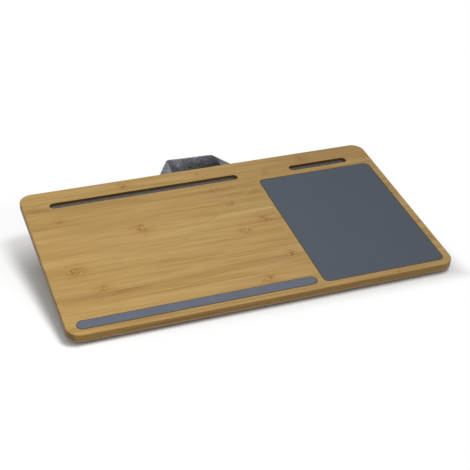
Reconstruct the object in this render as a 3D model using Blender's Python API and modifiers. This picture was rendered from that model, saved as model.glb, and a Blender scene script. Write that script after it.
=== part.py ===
"""A bamboo lap desk: an inlaid board on a two-bolster wedge cushion, with a fabric carry handle.

Metres, +Z up, +X to the user's right, +Y away from the user. The origin is on the floor, under the middle
of the whole object. The board, and all that is fixed to it, is modelled level in the board's own frame,
whose origin is the centre of the board's top face, and then tilts with the empty that carries it. The
cushion stands on the floor.
"""

import math

import bmesh
import bpy
from mathutils import Matrix, Vector

# Board
BOARD_LENGTH = 0.550
BOARD_DEPTH = 0.320
BOARD_THICKNESS = 0.012
BOARD_CORNER_RADIUS = 0.019
BOARD_EDGE_RADIUS = 0.0018
BOARD_TILT_DEGREES = 8.8
FRONT_EDGE_HEIGHT = 0.003

# Gap between pieces that touch, and how far a cutter runs past what it cuts
FIT_GAP = 0.0003
OVERRUN = 0.002
MERGE_DISTANCE = 0.000001

# Mouse pad, let in flush at the right
PAD_WIDTH = 0.1833
PAD_SLOT_SPACING = 0.0108
PAD_CORNER_RADIUS = 0.009
PAD_SIDE_MARGIN = 0.0115
PAD_FRONT_MARGIN = 0.0108
PAD_FACE_THICKNESS = 0.001
PAD_BACKING_THICKNESS = 0.001

# Grip strip, let in flush along the front
STRIP_WIDTH = 0.0173
STRIP_THICKNESS = 0.002
STRIP_SIDE_MARGIN = 0.0146
STRIP_PAD_SPACING = 0.0085
STRIP_FRONT_MARGIN = 0.0107

# Blind slots that hold a tablet and a phone upright
SLOT_WIDTH = 0.0128
SLOT_DEPTH = 0.0061
SLOT_BACK_MARGIN = 0.0313
SLOT_LINER_THICKNESS = 0.0017
DEVICE_SLOT_SIDE_MARGIN = 0.0392
DEVICE_SLOT_PAD_SPACING = 0.0273
PHONE_SLOT_LENGTH = 0.0956
PHONE_SLOT_SIDE_MARGIN = 0.041

# Cushion cover
COVER_INSET = 0.040
COVER_CORNER_RADIUS = 0.030
FABRIC_THICKNESS = 0.0012
PIPING_RADIUS = 0.0015
SEAM_FRONT_HEIGHT = 0.0026
SEAM_REAR_HEIGHT = 0.008
WALL_BULGE_SHARE = 0.09
WALL_FULLNESS = 4
EDGE_ROLL_WIDTH = 0.022
VALLEY_PLACE_SHARE = 0.42
VALLEY_HALF_WIDTH = 0.024
VALLEY_HEIGHT = 0.011
VALLEY_SIDE_RISE = 0.005

# Hardboard panel inside the cover, and the screws through it
BACKING_THICKNESS = 0.003
BACKING_INSET = 0.003
SCREW_SIDE_DISTANCE = 0.012
SCREW_FRONT_DISTANCE = 0.017
SCREW_COLUMNS = 5
SCREW_ROWS = 3
SCREW_RADIUS = 0.0015
SCREW_HEAD_RADIUS = 0.0033
SCREW_HEAD_RIM = 0.0004
SCREW_HEAD_DEPTH = 0.002
SCREW_POINT_LENGTH = 0.0022
SCREW_LENGTH = 0.0105

# Bead bags and the baffle between them
BAG_CLEARANCE = 0.0008
BAG_WALL_CLEARANCE = 0.004
BAFFLE_END_DISTANCE = 0.030
BAG_RING_SHARES = (0.5, 0.8, 0.92, 0.98)
BAG_STATION_SHARES = (-0.17, 0.17)
BAG_FULLNESS = 8

# Carry handle
STRAP_WIDTH = 0.028
STRAP_THICKNESS = 0.0024
TAB_LENGTH = 0.022
SEAM_STANDOFF = 0.0015
HANDLE_SPAN = 0.122
HANDLE_CENTRE = 0.005
LEG_TOE_IN = 0.0075
HANDLE_REACH = 0.027
HANDLE_RISE = 0.0042
HANDLE_TOP_LENGTH = 0.073
HANDLE_TOP_CENTRE = -0.0025
HANDLE_TOP_DROOP = 0.0025
LEFT_CREASE_SETBACK = 0
RIGHT_CREASE_SETBACK = 0.0124
FOLD_RUN = 0.0055
FOLD_CANT = 0.0014
BAND_DROP = 0.027
BAND_LEAN = 0.005
BAND_DROP_POWER = 0.6
BAR_TACK_LENGTH = 0.024
BAR_TACK_WIDTH = 0.0022
BAR_TACK_THICKNESS = 0.0005
BAR_TACK_SPACING = 0.012

# Zip in the cushion's rear wall
ZIP_LENGTH = 0.340
ZIP_SLOT_HEIGHT = 0.007
CHAIN_HEIGHT = 0.004
CHAIN_THICKNESS = 0.0015
TAPE_HEIGHT = 0.008
TAPE_THICKNESS = 0.0008
TAPE_PARTING = 0.001
STOP_LENGTH = 0.002
SLIDER_LENGTH = 0.009
SLIDER_HEIGHT = 0.0088
SLIDER_PLATE_THICKNESS = 0.0012
SLIDER_FLANGE_THICKNESS = 0.0009
SLIDER_EDGE_RADIUS = 0.0004
SLIDER_FLANGE_LENGTH = 0.0078
SLIDER_PIN_RISE = 0.0022
EAR_THICKNESS = 0.001
EAR_WIDTH = 0.0028
EAR_WALL = 0.0007
PIN_RADIUS = 0.0007
PULL_BARREL_LENGTH = 0.0042
PULL_NECK_WIDTH = 0.0036
PULL_NECK_LENGTH = 0.0067
PULL_WIDTH = 0.006
PULL_THICKNESS = 0.0012
PULL_LENGTH = 0.020
PULL_EYE_WALL = 0.0007
PULL_WINDOW_LENGTH = 0.007
PULL_WINDOW_WIDTH = 0.0022

# Angles, and counts of facets
QUARTER_TURN = math.pi / 2
SHARP_EDGE = math.radians(50)
FLAT_JOINT = math.radians(1)
FINE_STEPS = 12
SOFT_STEPS = 6
WALL_ROWS = 4
SCREW_SIDES = 12
STRAP_COLUMNS = 3
LEG_STEPS = 2
FOLD_STEPS = 4
BAND_STEPS = 12
TURN_STEPS = 2
EDGE_STEPS = 3

# Worked out from the sizes above, in the board's frame
TILT = math.radians(BOARD_TILT_DEGREES)
HALF_LENGTH = BOARD_LENGTH / 2
HALF_DEPTH = BOARD_DEPTH / 2
BOARD_UNDERSIDE = -BOARD_THICKNESS
PAD_DEPTH = BOARD_DEPTH - PAD_FRONT_MARGIN - PAD_SLOT_SPACING - SLOT_WIDTH - SLOT_BACK_MARGIN
PAD_LEFT_EDGE = HALF_LENGTH - PAD_SIDE_MARGIN - PAD_WIDTH
STRIP_LENGTH = HALF_LENGTH + PAD_LEFT_EDGE - STRIP_PAD_SPACING - STRIP_SIDE_MARGIN
DEVICE_SLOT_LENGTH = HALF_LENGTH + PAD_LEFT_EDGE - DEVICE_SLOT_PAD_SPACING - DEVICE_SLOT_SIDE_MARGIN
PAD_POCKET_DEPTH = PAD_FACE_THICKNESS + PAD_BACKING_THICKNESS + 2 * FIT_GAP
STRIP_GROOVE_DEPTH = STRIP_THICKNESS + FIT_GAP
COVER_LENGTH = BOARD_LENGTH - 2 * COVER_INSET
COVER_DEPTH = BOARD_DEPTH - 2 * COVER_INSET
PANEL_TOP = BOARD_UNDERSIDE - FIT_GAP
PANEL_UNDERSIDE = PANEL_TOP - FABRIC_THICKNESS
BACKING_TOP = PANEL_UNDERSIDE - FIT_GAP
BACKING_UNDERSIDE = BACKING_TOP - BACKING_THICKNESS
BACKING_LENGTH = COVER_LENGTH - 2 * BACKING_INSET
BACKING_DEPTH = COVER_DEPTH - 2 * BACKING_INSET
STRAP_TOP = PANEL_UNDERSIDE - FIT_GAP
STRAP_UNDERSIDE = STRAP_TOP - STRAP_THICKNESS
SEAM_PLACE = COVER_DEPTH / 2 + SEAM_STANDOFF
HANDLE_TOP_PLACE = HALF_DEPTH + HANDLE_REACH

# The board's frame stands over the floor so that the whole object is centred on the origin
REAR_REACH = HANDLE_TOP_PLACE * math.cos(TILT) + STRAP_THICKNESS / 2
FRONT_REACH = HALF_DEPTH * math.cos(TILT)
FRAME_PLACE = (FRONT_REACH - REAR_REACH) / 2
FRAME_HEIGHT = FRONT_EDGE_HEIGHT + HALF_DEPTH * math.sin(TILT) + BOARD_THICKNESS * math.cos(TILT)
BOARD_FRAME = Matrix.Translation((0, FRAME_PLACE, FRAME_HEIGHT)) @ Matrix.Rotation(TILT, 4, "X")

SCREW_START = Vector(
    (SCREW_SIDE_DISTANCE - BACKING_LENGTH / 2, SCREW_FRONT_DISTANCE - BACKING_DEPTH / 2, BACKING_UNDERSIDE)
)
SCREW_COLUMN_STEP = -2 * SCREW_START.x / (SCREW_COLUMNS - 1)
SCREW_ROW_STEP = -2 * SCREW_START.y / (SCREW_ROWS - 1)

# Worked out from the sizes above, on the floor
BASE_DEPTH = COVER_DEPTH * math.cos(TILT)
BASE_INSET = PIPING_RADIUS + FIT_GAP
BASE_PLACE = (BOARD_FRAME @ Vector((0, 0, BACKING_TOP))).y
VALLEY_PLACE = (VALLEY_PLACE_SHARE - 1 / 2) * BASE_DEPTH
VALLEY_STATION_SHARES = (-1, -0.55, -0.2, 0, 0.2, 0.55, 1)
STATION_SHARES = [
    (VALLEY_PLACE + share * VALLEY_HALF_WIDTH) / BASE_DEPTH for share in VALLEY_STATION_SHARES
]


def fresh_scene():
    """Removes what the scene holds, and returns the collections of the desk's pieces and of the cutters."""
    for old in list(bpy.data.objects):
        bpy.data.objects.remove(old, do_unlink=True)
    made = []
    for name in ("Lap desk", "Cutters"):
        group = bpy.data.collections.new(name)
        bpy.context.scene.collection.children.link(group)
        made.append(group)
    return made


PIECES, CUTTERS = fresh_scene()


def principled(name, color, roughness, metallic=0.0):
    """A Principled material."""
    material = bpy.data.materials.new(name)
    material.use_nodes = True
    shader = material.node_tree.nodes["Principled BSDF"]
    shader.inputs["Base Color"].default_value = (*color, 1.0)
    shader.inputs["Roughness"].default_value = roughness
    shader.inputs["Metallic"].default_value = metallic
    material.diffuse_color = (*color, 1.0)
    return material


BAMBOO = principled("bamboo", (0.45, 0.29, 0.11), 0.45)
PAD_GREY = principled("pad_grey", (0.085, 0.1, 0.125), 0.6)
GRIP_GREY = principled("grip_grey", (0.12, 0.14, 0.18), 0.65)
LINER_GREY = principled("liner_grey", (0.09, 0.08, 0.07), 0.9)
RUBBER = principled("black_rubber", (0.03, 0.03, 0.03), 0.9)
HARDBOARD = principled("hardboard", (0.25, 0.15, 0.08), 0.8)
MARL = principled("grey_marl", (0.2, 0.21, 0.22), 0.95)
LINING = principled("lining", (0.06, 0.06, 0.07), 0.95)
BEAD_BAG = principled("bead_bag", (0.7, 0.7, 0.68), 0.9)
THREAD = principled("thread", (0.05, 0.05, 0.06), 0.8)
ZIP_PLASTIC = principled("zip_plastic", (0.03, 0.03, 0.035), 0.5)
ZIP_METAL = principled("zip_metal", (0.35, 0.35, 0.36), 0.35, 1.0)
STEEL = principled("screw_steel", (0.6, 0.6, 0.62), 0.3, 1.0)

CARRIER = bpy.data.objects.new("board_frame", None)
CARRIER.location = (0, FRAME_PLACE, FRAME_HEIGHT)
CARRIER.rotation_euler = (TILT, 0, 0)
PIECES.objects.link(CARRIER)


def piece(name, mesh, material, location=(0, 0, 0), carrier=None):
    """Links a mesh into the desk as one named piece."""
    obj = bpy.data.objects.new(name, mesh)
    obj.data.materials.clear()
    obj.data.materials.append(material)
    obj.location = location
    obj.parent = carrier
    PIECES.objects.link(obj)
    return obj


def cutter(name, mesh, location=(0, 0, 0), carrier=None):
    """Links a mesh as a shape that only cuts."""
    obj = bpy.data.objects.new(name, mesh)
    obj.location = location
    obj.parent = carrier
    obj.hide_render = True
    obj.display_type = "WIRE"
    CUTTERS.objects.link(obj)
    return obj


def cut(obj, *shapes):
    """Takes each shape out of the object."""
    for shape in shapes:
        boolean = obj.modifiers.new("cut " + shape.name, "BOOLEAN")
        boolean.operation = "DIFFERENCE"
        boolean.object = shape


def join(obj, *shapes):
    """Makes one body of the object and each shape."""
    for shape in shapes:
        union = obj.modifiers.new("join " + shape.name, "BOOLEAN")
        union.operation = "UNION"
        union.object = shape


def round_edges(obj, radius, steps=EDGE_STEPS):
    """Rounds the object's sharp edges."""
    bevel = obj.modifiers.new("round edges", "BEVEL")
    bevel.width = radius
    bevel.segments = steps
    bevel.limit_method = "ANGLE"
    bevel.angle_limit = SHARP_EDGE


def thicken(obj, thickness, offset):
    """Gives an open surface its thickness."""
    solidify = obj.modifiers.new("thickness", "SOLIDIFY")
    solidify.thickness = thickness
    solidify.offset = offset


def quarter_arc(centre_x, centre_y, radius, quarter, steps):
    """Points of a quarter circle, counter-clockwise."""
    return [
        (
            centre_x + radius * math.cos((quarter + step / steps) * QUARTER_TURN),
            centre_y + radius * math.sin((quarter + step / steps) * QUARTER_TURN),
        )
        for step in range(steps + 1)
    ]


def rounded_outline(length, depth, radius, steps, station_shares=()):
    """A rounded rectangle, counter-clockwise, with extra points along its two short sides."""
    x = length / 2 - radius
    y = depth / 2 - radius
    stations = [share * depth for share in sorted(station_shares)]
    points = quarter_arc(x, y, radius, 0, steps) + quarter_arc(-x, y, radius, 1, steps)
    points += [(-length / 2, station) for station in reversed(stations)]
    points += quarter_arc(-x, -y, radius, 2, steps) + quarter_arc(x, -y, radius, 3, steps)
    points += [(length / 2, station) for station in stations]
    kept = []
    for point in points:
        if not kept or math.dist(point, kept[-1]) > MERGE_DISTANCE:
            kept.append(point)
    if math.dist(kept[0], kept[-1]) < MERGE_DISTANCE:
        kept.pop()
    return kept


def slab_mesh(name, outline, thickness):
    """A flat plate with that outline, its middle plane at z = 0."""
    curve = bpy.data.curves.new(name, "CURVE")
    curve.dimensions = "2D"
    curve.fill_mode = "BOTH"
    curve.extrude = thickness / 2
    spline = curve.splines.new("POLY")
    spline.points.add(len(outline) - 1)
    for point, (x, y) in zip(spline.points, outline):
        point.co = (x, y, 0, 1)
    spline.use_cyclic_u = True
    guide = bpy.data.objects.new(name, curve)
    CUTTERS.objects.link(guide)
    graph = bpy.context.evaluated_depsgraph_get()
    mesh = bpy.data.meshes.new_from_object(guide.evaluated_get(graph))
    bpy.data.objects.remove(guide)
    shape = bmesh.new()
    shape.from_mesh(mesh)
    bmesh.ops.remove_doubles(shape, verts=shape.verts, dist=MERGE_DISTANCE)
    bmesh.ops.dissolve_limit(shape, angle_limit=FLAT_JOINT, verts=shape.verts, edges=shape.edges)
    bmesh.ops.recalc_face_normals(shape, faces=shape.faces)
    shape.to_mesh(mesh)
    shape.free()
    return mesh


def rounded_slab(name, length, depth, radius, thickness, steps=FINE_STEPS):
    """A plate with rounded corners."""
    return slab_mesh(name, rounded_outline(length, depth, radius, steps), thickness)


def box_mesh(name, size, centre=(0, 0, 0)):
    """A box of that size."""
    shape = bmesh.new()
    bmesh.ops.create_cube(shape, size=1, matrix=Matrix.Translation(centre) @ Matrix.Diagonal((*size, 1)))
    return mesh_of(shape, name)


def mesh_of(shape, name):
    """Turns a mesh in the making into a finished one."""
    bmesh.ops.recalc_face_normals(shape, faces=shape.faces)
    mesh = bpy.data.meshes.new(name)
    shape.to_mesh(mesh)
    shape.free()
    return mesh


def surface_mesh(name, rows, joined_ends=False):
    """An open surface through rows of points. With joined_ends each row is a closed ring."""
    shape = bmesh.new()
    grid = [[shape.verts.new(point) for point in row] for row in rows]
    count = len(grid[0])
    last = count if joined_ends else count - 1
    for lower, upper in zip(grid, grid[1:]):
        for index in range(last):
            beside = (index + 1) % count
            shape.faces.new((lower[index], lower[beside], upper[beside], upper[index]))
    mesh = bpy.data.meshes.new(name)
    shape.to_mesh(mesh)
    shape.free()
    return mesh


def turned(name, profile):
    """A mesh of the profile's (radius, height) points, from the top of the axis down the outer side."""
    shape = bmesh.new()
    points = [shape.verts.new((radius, 0, height)) for radius, height in profile]
    for pair in zip(points, points[1:]):
        shape.edges.new(pair)
    mesh = bpy.data.meshes.new(name)
    shape.to_mesh(mesh)
    shape.free()
    return mesh


def spin_round(obj):
    """Turns the object's profile all the way round its own Z axis."""
    screw = obj.modifiers.new("turned", "SCREW")
    screw.steps = SCREW_SIDES
    screw.render_steps = SCREW_SIDES
    screw.use_merge_vertices = True
    screw.merge_threshold = MERGE_DISTANCE


def repeat(obj, count, offset):
    """Repeats the object along the offset."""
    array = obj.modifiers.new("repeated", "ARRAY")
    array.count = count
    array.use_relative_offset = False
    array.use_constant_offset = True
    array.constant_offset_displace = offset


def rod_mesh(name, radius, length, centre=(0, 0, 0)):
    """A round bar along X."""
    shape = bmesh.new()
    bmesh.ops.create_cone(
        shape,
        cap_ends=True,
        segments=SCREW_SIDES,
        radius1=radius,
        radius2=radius,
        depth=length,
        matrix=Matrix.Translation(centre) @ Matrix.Rotation(QUARTER_TURN, 4, "Y"),
    )
    return mesh_of(shape, name)


def roll(share):
    """How far a stuffed edge has left the floor: 1 at its seam, 0 from one roll width inwards."""
    inward = 1 - min(max(share, 0), 1)
    return 1 - math.sqrt(1 - inward * inward)


def valley(y):
    """1 in the valley between the two bolsters, 0 beside it. y counts from the base's middle."""
    return roll(abs(y - VALLEY_PLACE) / VALLEY_HALF_WIDTH)


def seam_height(y):
    """Height over the floor of the seam between wall and base."""
    back_share = y / BASE_DEPTH + 1 / 2
    rise = (SEAM_REAR_HEIGHT - SEAM_FRONT_HEIGHT) * back_share
    return SEAM_FRONT_HEIGHT + rise + VALLEY_SIDE_RISE * valley(y)


def inward_distance(x, y, length, depth, radius):
    """Distance of a point from the outline of a rounded rectangle, measured inwards."""
    past_x = abs(x) - (length / 2 - radius)
    past_y = abs(y) - (depth / 2 - radius)
    outside = math.hypot(max(past_x, 0), max(past_y, 0))
    return radius - outside - min(max(past_x, past_y), 0)


def base_height(x, y):
    """Height of the base's outer side: on the floor under both bolsters, up to the seam and in the valley."""
    distance = inward_distance(x, y, COVER_LENGTH, BASE_DEPTH, COVER_CORNER_RADIUS) - BASE_INSET
    edge = roll(distance / EDGE_ROLL_WIDTH)
    return seam_height(y) * edge + VALLEY_HEIGHT * valley(y) * (1 - edge)


def backing_height(y):
    """Height over the floor of the hardboard's underside. y counts from the base's middle."""
    on_floor = BASE_PLACE + y - FRAME_PLACE
    level = (on_floor + BACKING_UNDERSIDE * math.sin(TILT)) / math.cos(TILT)
    return FRAME_HEIGHT + level * math.sin(TILT) + BACKING_UNDERSIDE * math.cos(TILT)


def stadium(name, length, width, thickness):
    """A plate with half-round ends."""
    return rounded_slab(name, length, width, width / 2, thickness)


# Places of the inlays, in the board's frame
PAD_X = PAD_LEFT_EDGE + PAD_WIDTH / 2
PAD_Y = PAD_FRONT_MARGIN + PAD_DEPTH / 2 - HALF_DEPTH
STRIP_X = STRIP_SIDE_MARGIN + STRIP_LENGTH / 2 - HALF_LENGTH
STRIP_Y = STRIP_FRONT_MARGIN + STRIP_WIDTH / 2 - HALF_DEPTH
SLOT_Y = HALF_DEPTH - SLOT_BACK_MARGIN - SLOT_WIDTH / 2
DEVICE_SLOT_X = DEVICE_SLOT_SIDE_MARGIN + DEVICE_SLOT_LENGTH / 2 - HALF_LENGTH
PHONE_SLOT_X = HALF_LENGTH - PHONE_SLOT_SIDE_MARGIN - PHONE_SLOT_LENGTH / 2
SLOTS = (("device_slot", DEVICE_SLOT_LENGTH, DEVICE_SLOT_X), ("phone_slot", PHONE_SLOT_LENGTH, PHONE_SLOT_X))


def sunk_cutter(name, mesh_maker, length, width, depth, x, y):
    """A cutter that sinks a pocket of that outline and depth into the board's top."""
    mesh = mesh_maker(name, length, width, depth + OVERRUN)
    return cutter(name, mesh, (x, y, (OVERRUN - depth) / 2), CARRIER)


def pad_slab(name, length, depth, thickness):
    """A plate with the mouse pad's corners."""
    return rounded_slab(name, length, depth, PAD_CORNER_RADIUS, thickness)


def screw_profile(gap):
    """The screw's half section, from its point down to the middle of its head, grown by gap on every side."""
    bottom = FIT_GAP
    tip = bottom + SCREW_LENGTH
    low = bottom - OVERRUN if gap else bottom
    return [
        (0, tip + 2 * gap),
        (SCREW_RADIUS + gap, tip - SCREW_POINT_LENGTH + gap / 2),
        (SCREW_RADIUS + gap, bottom + SCREW_HEAD_DEPTH + gap / 2),
        (SCREW_HEAD_RADIUS + gap, bottom + SCREW_HEAD_RIM + gap / 2),
        (SCREW_HEAD_RADIUS + gap, low),
        (0, low),
    ]


def make_screw_bores():
    """The cutter that bores the screws' holes, a grid of screws grown by the gap round them."""
    bores = cutter("screw_bores", turned("screw_bores", screw_profile(FIT_GAP)), SCREW_START, CARRIER)
    spin_round(bores)
    repeat(bores, SCREW_COLUMNS, (SCREW_COLUMN_STEP, 0, 0))
    repeat(bores, SCREW_ROWS, (0, SCREW_ROW_STEP, 0))
    return bores


def make_screws():
    """The screws: rows and columns inside the hardboard's edge, driven from inside the cushion."""
    mesh = turned("backing_screw", screw_profile(0))
    for row in range(SCREW_ROWS):
        for column in range(SCREW_COLUMNS):
            place = SCREW_START + Vector((column * SCREW_COLUMN_STEP, row * SCREW_ROW_STEP, 0))
            number = row * SCREW_COLUMNS + column + 1
            spin_round(piece(f"backing_screw_{number:02}", mesh, STEEL, place, CARRIER))


def make_board():
    """The bamboo board with its pockets, slots and pilot holes."""
    mesh = rounded_slab("bamboo_board", BOARD_LENGTH, BOARD_DEPTH, BOARD_CORNER_RADIUS, BOARD_THICKNESS)
    board = piece("bamboo_board", mesh, BAMBOO, (0, 0, BOARD_UNDERSIDE / 2), CARRIER)
    round_edges(board, BOARD_EDGE_RADIUS)
    cut(
        board,
        sunk_cutter("pad_pocket", pad_slab, PAD_WIDTH, PAD_DEPTH, PAD_POCKET_DEPTH, PAD_X, PAD_Y),
        sunk_cutter("strip_groove", stadium, STRIP_LENGTH, STRIP_WIDTH, STRIP_GROOVE_DEPTH, STRIP_X, STRIP_Y),
        *[sunk_cutter(name, stadium, length, SLOT_WIDTH, SLOT_DEPTH, x, SLOT_Y) for name, length, x in SLOTS],
        SCREW_BORES,
    )


def make_inlays():
    """The pad's two layers, the grip strip and the slots' liners."""
    width = PAD_WIDTH - 2 * FIT_GAP
    depth = PAD_DEPTH - 2 * FIT_GAP
    face_place = -PAD_FACE_THICKNESS / 2
    backing_place = -PAD_FACE_THICKNESS - FIT_GAP - PAD_BACKING_THICKNESS / 2
    face = pad_slab("mouse_pad", width, depth, PAD_FACE_THICKNESS)
    backing = pad_slab("mouse_pad_backing", width, depth, PAD_BACKING_THICKNESS)
    piece("mouse_pad", face, PAD_GREY, (PAD_X, PAD_Y, face_place), CARRIER)
    piece("mouse_pad_backing", backing, RUBBER, (PAD_X, PAD_Y, backing_place), CARRIER)
    strip = stadium("grip_strip", STRIP_LENGTH - 2 * FIT_GAP, STRIP_WIDTH - 2 * FIT_GAP, STRIP_THICKNESS)
    piece("grip_strip", strip, GRIP_GREY, (STRIP_X, STRIP_Y, -STRIP_THICKNESS / 2), CARRIER)
    liner_place = FIT_GAP + SLOT_LINER_THICKNESS / 2 - SLOT_DEPTH
    for slot, length, x in SLOTS:
        liner = stadium(slot + "_liner", length - 2 * FIT_GAP, SLOT_WIDTH - 2 * FIT_GAP, SLOT_LINER_THICKNESS)
        piece(slot + "_liner", liner, LINER_GREY, (x, SLOT_Y, liner_place), CARRIER)


def handle_end(side):
    """Middle of one of the handle's sewn ends: side is -1 on the left, 1 on the right."""
    return HANDLE_CENTRE + side * HANDLE_SPAN / 2


def strap_passages(name, room_below):
    """Cutters where the handle's two ends pass or lie, with that much room under the strap."""
    passages = []
    top = STRAP_TOP + FIT_GAP
    bottom = STRAP_UNDERSIDE - room_below
    length = TAB_LENGTH + OVERRUN + 2 * FIT_GAP
    for side in (-1, 1):
        size = (STRAP_WIDTH + 2 * FIT_GAP, length, top - bottom)
        centre = (handle_end(side), COVER_DEPTH / 2 + OVERRUN - length / 2, (top + bottom) / 2)
        passages.append(cutter(name, box_mesh(name, size, centre), carrier=CARRIER))
    return passages


def make_backing():
    """The hardboard panel."""
    mesh = rounded_slab(
        "backing_board",
        BACKING_LENGTH,
        BACKING_DEPTH,
        COVER_CORNER_RADIUS - BACKING_INSET,
        BACKING_THICKNESS,
        SOFT_STEPS,
    )
    backing = piece("backing_board", mesh, HARDBOARD, (0, 0, (BACKING_TOP + BACKING_UNDERSIDE) / 2), CARRIER)
    cut(backing, SCREW_BORES, *strap_passages("backing_notch", OVERRUN))


def make_top_panel():
    """The cover's top panel, clamped under the board."""
    mesh = rounded_slab(
        "cover_top_panel", COVER_LENGTH, COVER_DEPTH, COVER_CORNER_RADIUS, FABRIC_THICKNESS, SOFT_STEPS
    )
    panel = piece("cover_top_panel", mesh, MARL, (0, 0, (PANEL_TOP + PANEL_UNDERSIDE) / 2), CARRIER)
    cut(panel, SCREW_BORES)


def wall_ring(row):
    """One ring of the cushion's wall, from its foot at row 0 to its head under the top panel."""
    share = row / WALL_ROWS
    feet = rounded_outline(COVER_LENGTH, BASE_DEPTH, COVER_CORNER_RADIUS, SOFT_STEPS, STATION_SHARES)
    heads = rounded_outline(COVER_LENGTH, COVER_DEPTH, COVER_CORNER_RADIUS, SOFT_STEPS, STATION_SHARES)
    count = len(feet)
    ring = []
    for index in range(count):
        x, y = feet[index]
        foot = Vector((x, BASE_PLACE + y, seam_height(y) + PIPING_RADIUS + FIT_GAP))
        head = BOARD_FRAME @ Vector((*heads[index], BACKING_TOP))
        before = Vector(feet[index - 1])
        after = Vector(feet[(index + 1) % count])
        along = (after - before).normalized()
        outward = Vector((along.y, -along.x, 0))
        bulge = WALL_BULGE_SHARE * (head.z - foot.z) * (1 - abs(2 * share - 1) ** WALL_FULLNESS)
        ring.append(foot.lerp(head, share) + outward * bulge)
    return ring


def make_wall():
    """The sewn wall of the cover, with its zip opening."""
    mesh = surface_mesh("cover_side_band", [wall_ring(row) for row in range(WALL_ROWS + 1)], True)
    wall = piece("cover_side_band", mesh, MARL)
    thicken(wall, FABRIC_THICKNESS, -1)
    size = (ZIP_LENGTH, 4 * OVERRUN + FABRIC_THICKNESS, ZIP_SLOT_HEIGHT)
    opening = cutter("zip_opening", box_mesh("zip_opening", size, (0, WALL_FACE, ZIP_HEIGHT)))
    cut(wall, opening, *strap_passages("strap_passage", FIT_GAP))


def base_rows():
    """Places of the base panel's rows of points, from front to back, as distances from its middle."""
    half = BASE_DEPTH / 2
    turns = [step / SOFT_STEPS * QUARTER_TURN for step in range(SOFT_STEPS + 1)]
    edges = [half - COVER_CORNER_RADIUS * (1 - math.sin(turn)) for turn in turns]
    stations = [share * BASE_DEPTH for share in STATION_SHARES]
    return sorted([-edge for edge in edges] + stations + edges)


def make_base():
    """The cover's base panel: two bolsters on the floor, drawn up at the seams and in the valley."""
    length = COVER_LENGTH - 2 * BASE_INSET
    depth_share = 1 - 2 * BASE_INSET / BASE_DEPTH
    radius = COVER_CORNER_RADIUS - BASE_INSET
    turns = [step / SOFT_STEPS * QUARTER_TURN for step in range(SOFT_STEPS + 1)]
    columns = [1 - radius * (1 - math.sin(turn)) / (length / 2) for turn in turns]
    columns = sorted([-column for column in columns] + [0] + columns)
    rows = []
    for place in base_rows():
        y = place * depth_share
        past = max(abs(y) - (BASE_DEPTH / 2 - COVER_CORNER_RADIUS), 0)
        reach = length / 2 - radius + math.sqrt(max(radius * radius - past * past, 0))
        rows.append(
            [
                (column * reach, BASE_PLACE + y, base_height(column * reach, y))
                for column in columns
            ]
        )
    base = piece("cover_base_panel", surface_mesh("cover_base_panel", rows), MARL)
    thicken(base, FABRIC_THICKNESS, 1)


def make_piping():
    """The welt in the seam between wall and base, a closed loop of covered cord."""
    outline = rounded_outline(COVER_LENGTH, BASE_DEPTH, COVER_CORNER_RADIUS, SOFT_STEPS, STATION_SHARES)
    curve = bpy.data.curves.new("cover_piping", "CURVE")
    curve.dimensions = "3D"
    curve.bevel_depth = PIPING_RADIUS
    curve.bevel_resolution = 1
    spline = curve.splines.new("POLY")
    spline.points.add(len(outline) - 1)
    for point, (x, y) in zip(spline.points, outline):
        point.co = (x, BASE_PLACE + y, seam_height(y), 1)
    spline.use_cyclic_u = True
    piece("cover_piping", curve, MARL)


def bag_ring(centre_y, outline, share, side):
    """One ring of a bead bag at that share of its outline, on its upper (side 1) or lower (side -1) face."""
    fullness = math.sqrt(1 - share**BAG_FULLNESS)
    ring = []
    for outline_x, outline_y in outline:
        x = outline_x * share
        y = centre_y + outline_y * share
        low = base_height(x, y) + FABRIC_THICKNESS + BAG_CLEARANCE
        high = backing_height(y) - BAG_CLEARANCE
        middle = (low + high) / 2
        ring.append((x, BASE_PLACE + y, middle + side * fullness * (high - low) / 2))
    return ring


def make_bag(name, front, back):
    """A bead bag that fills its bolster, between two distances from the base's middle."""
    centre = (front + back) / 2
    radius = COVER_CORNER_RADIUS - BAG_WALL_CLEARANCE
    length = COVER_LENGTH - 2 * BAG_WALL_CLEARANCE
    outline = rounded_outline(length, back - front, radius, SOFT_STEPS, BAG_STATION_SHARES)
    rings = [bag_ring(centre, outline, share, -1) for share in BAG_RING_SHARES]
    rings.append(bag_ring(centre, outline, 1, 1))
    rings += [bag_ring(centre, outline, share, 1) for share in reversed(BAG_RING_SHARES)]
    mesh = surface_mesh(name, rings, True)
    shape = bmesh.new()
    shape.from_mesh(mesh)
    rims = [edge for edge in shape.edges if edge.is_boundary]
    bmesh.ops.holes_fill(shape, edges=rims)
    bmesh.ops.recalc_face_normals(shape, faces=shape.faces)
    shape.to_mesh(mesh)
    shape.free()
    piece(name, mesh, BEAD_BAG)


def make_filling():
    """The two bead bags, and the baffle that draws the valley in between them."""
    half = BASE_DEPTH / 2 - BAG_WALL_CLEARANCE
    beside_baffle = FABRIC_THICKNESS / 2 + BAG_CLEARANCE
    make_bag("front_bead_bag", -half, VALLEY_PLACE - beside_baffle)
    make_bag("rear_bead_bag", VALLEY_PLACE + beside_baffle, half)
    low = VALLEY_HEIGHT + FABRIC_THICKNESS + FIT_GAP
    high = backing_height(VALLEY_PLACE - FABRIC_THICKNESS) - FIT_GAP
    size = (COVER_LENGTH - 2 * BAFFLE_END_DISTANCE, FABRIC_THICKNESS, high - low)
    centre = (0, BASE_PLACE + VALLEY_PLACE, (high + low) / 2)
    piece("bolster_baffle", box_mesh("bolster_baffle", size, centre), LINING)


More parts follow.
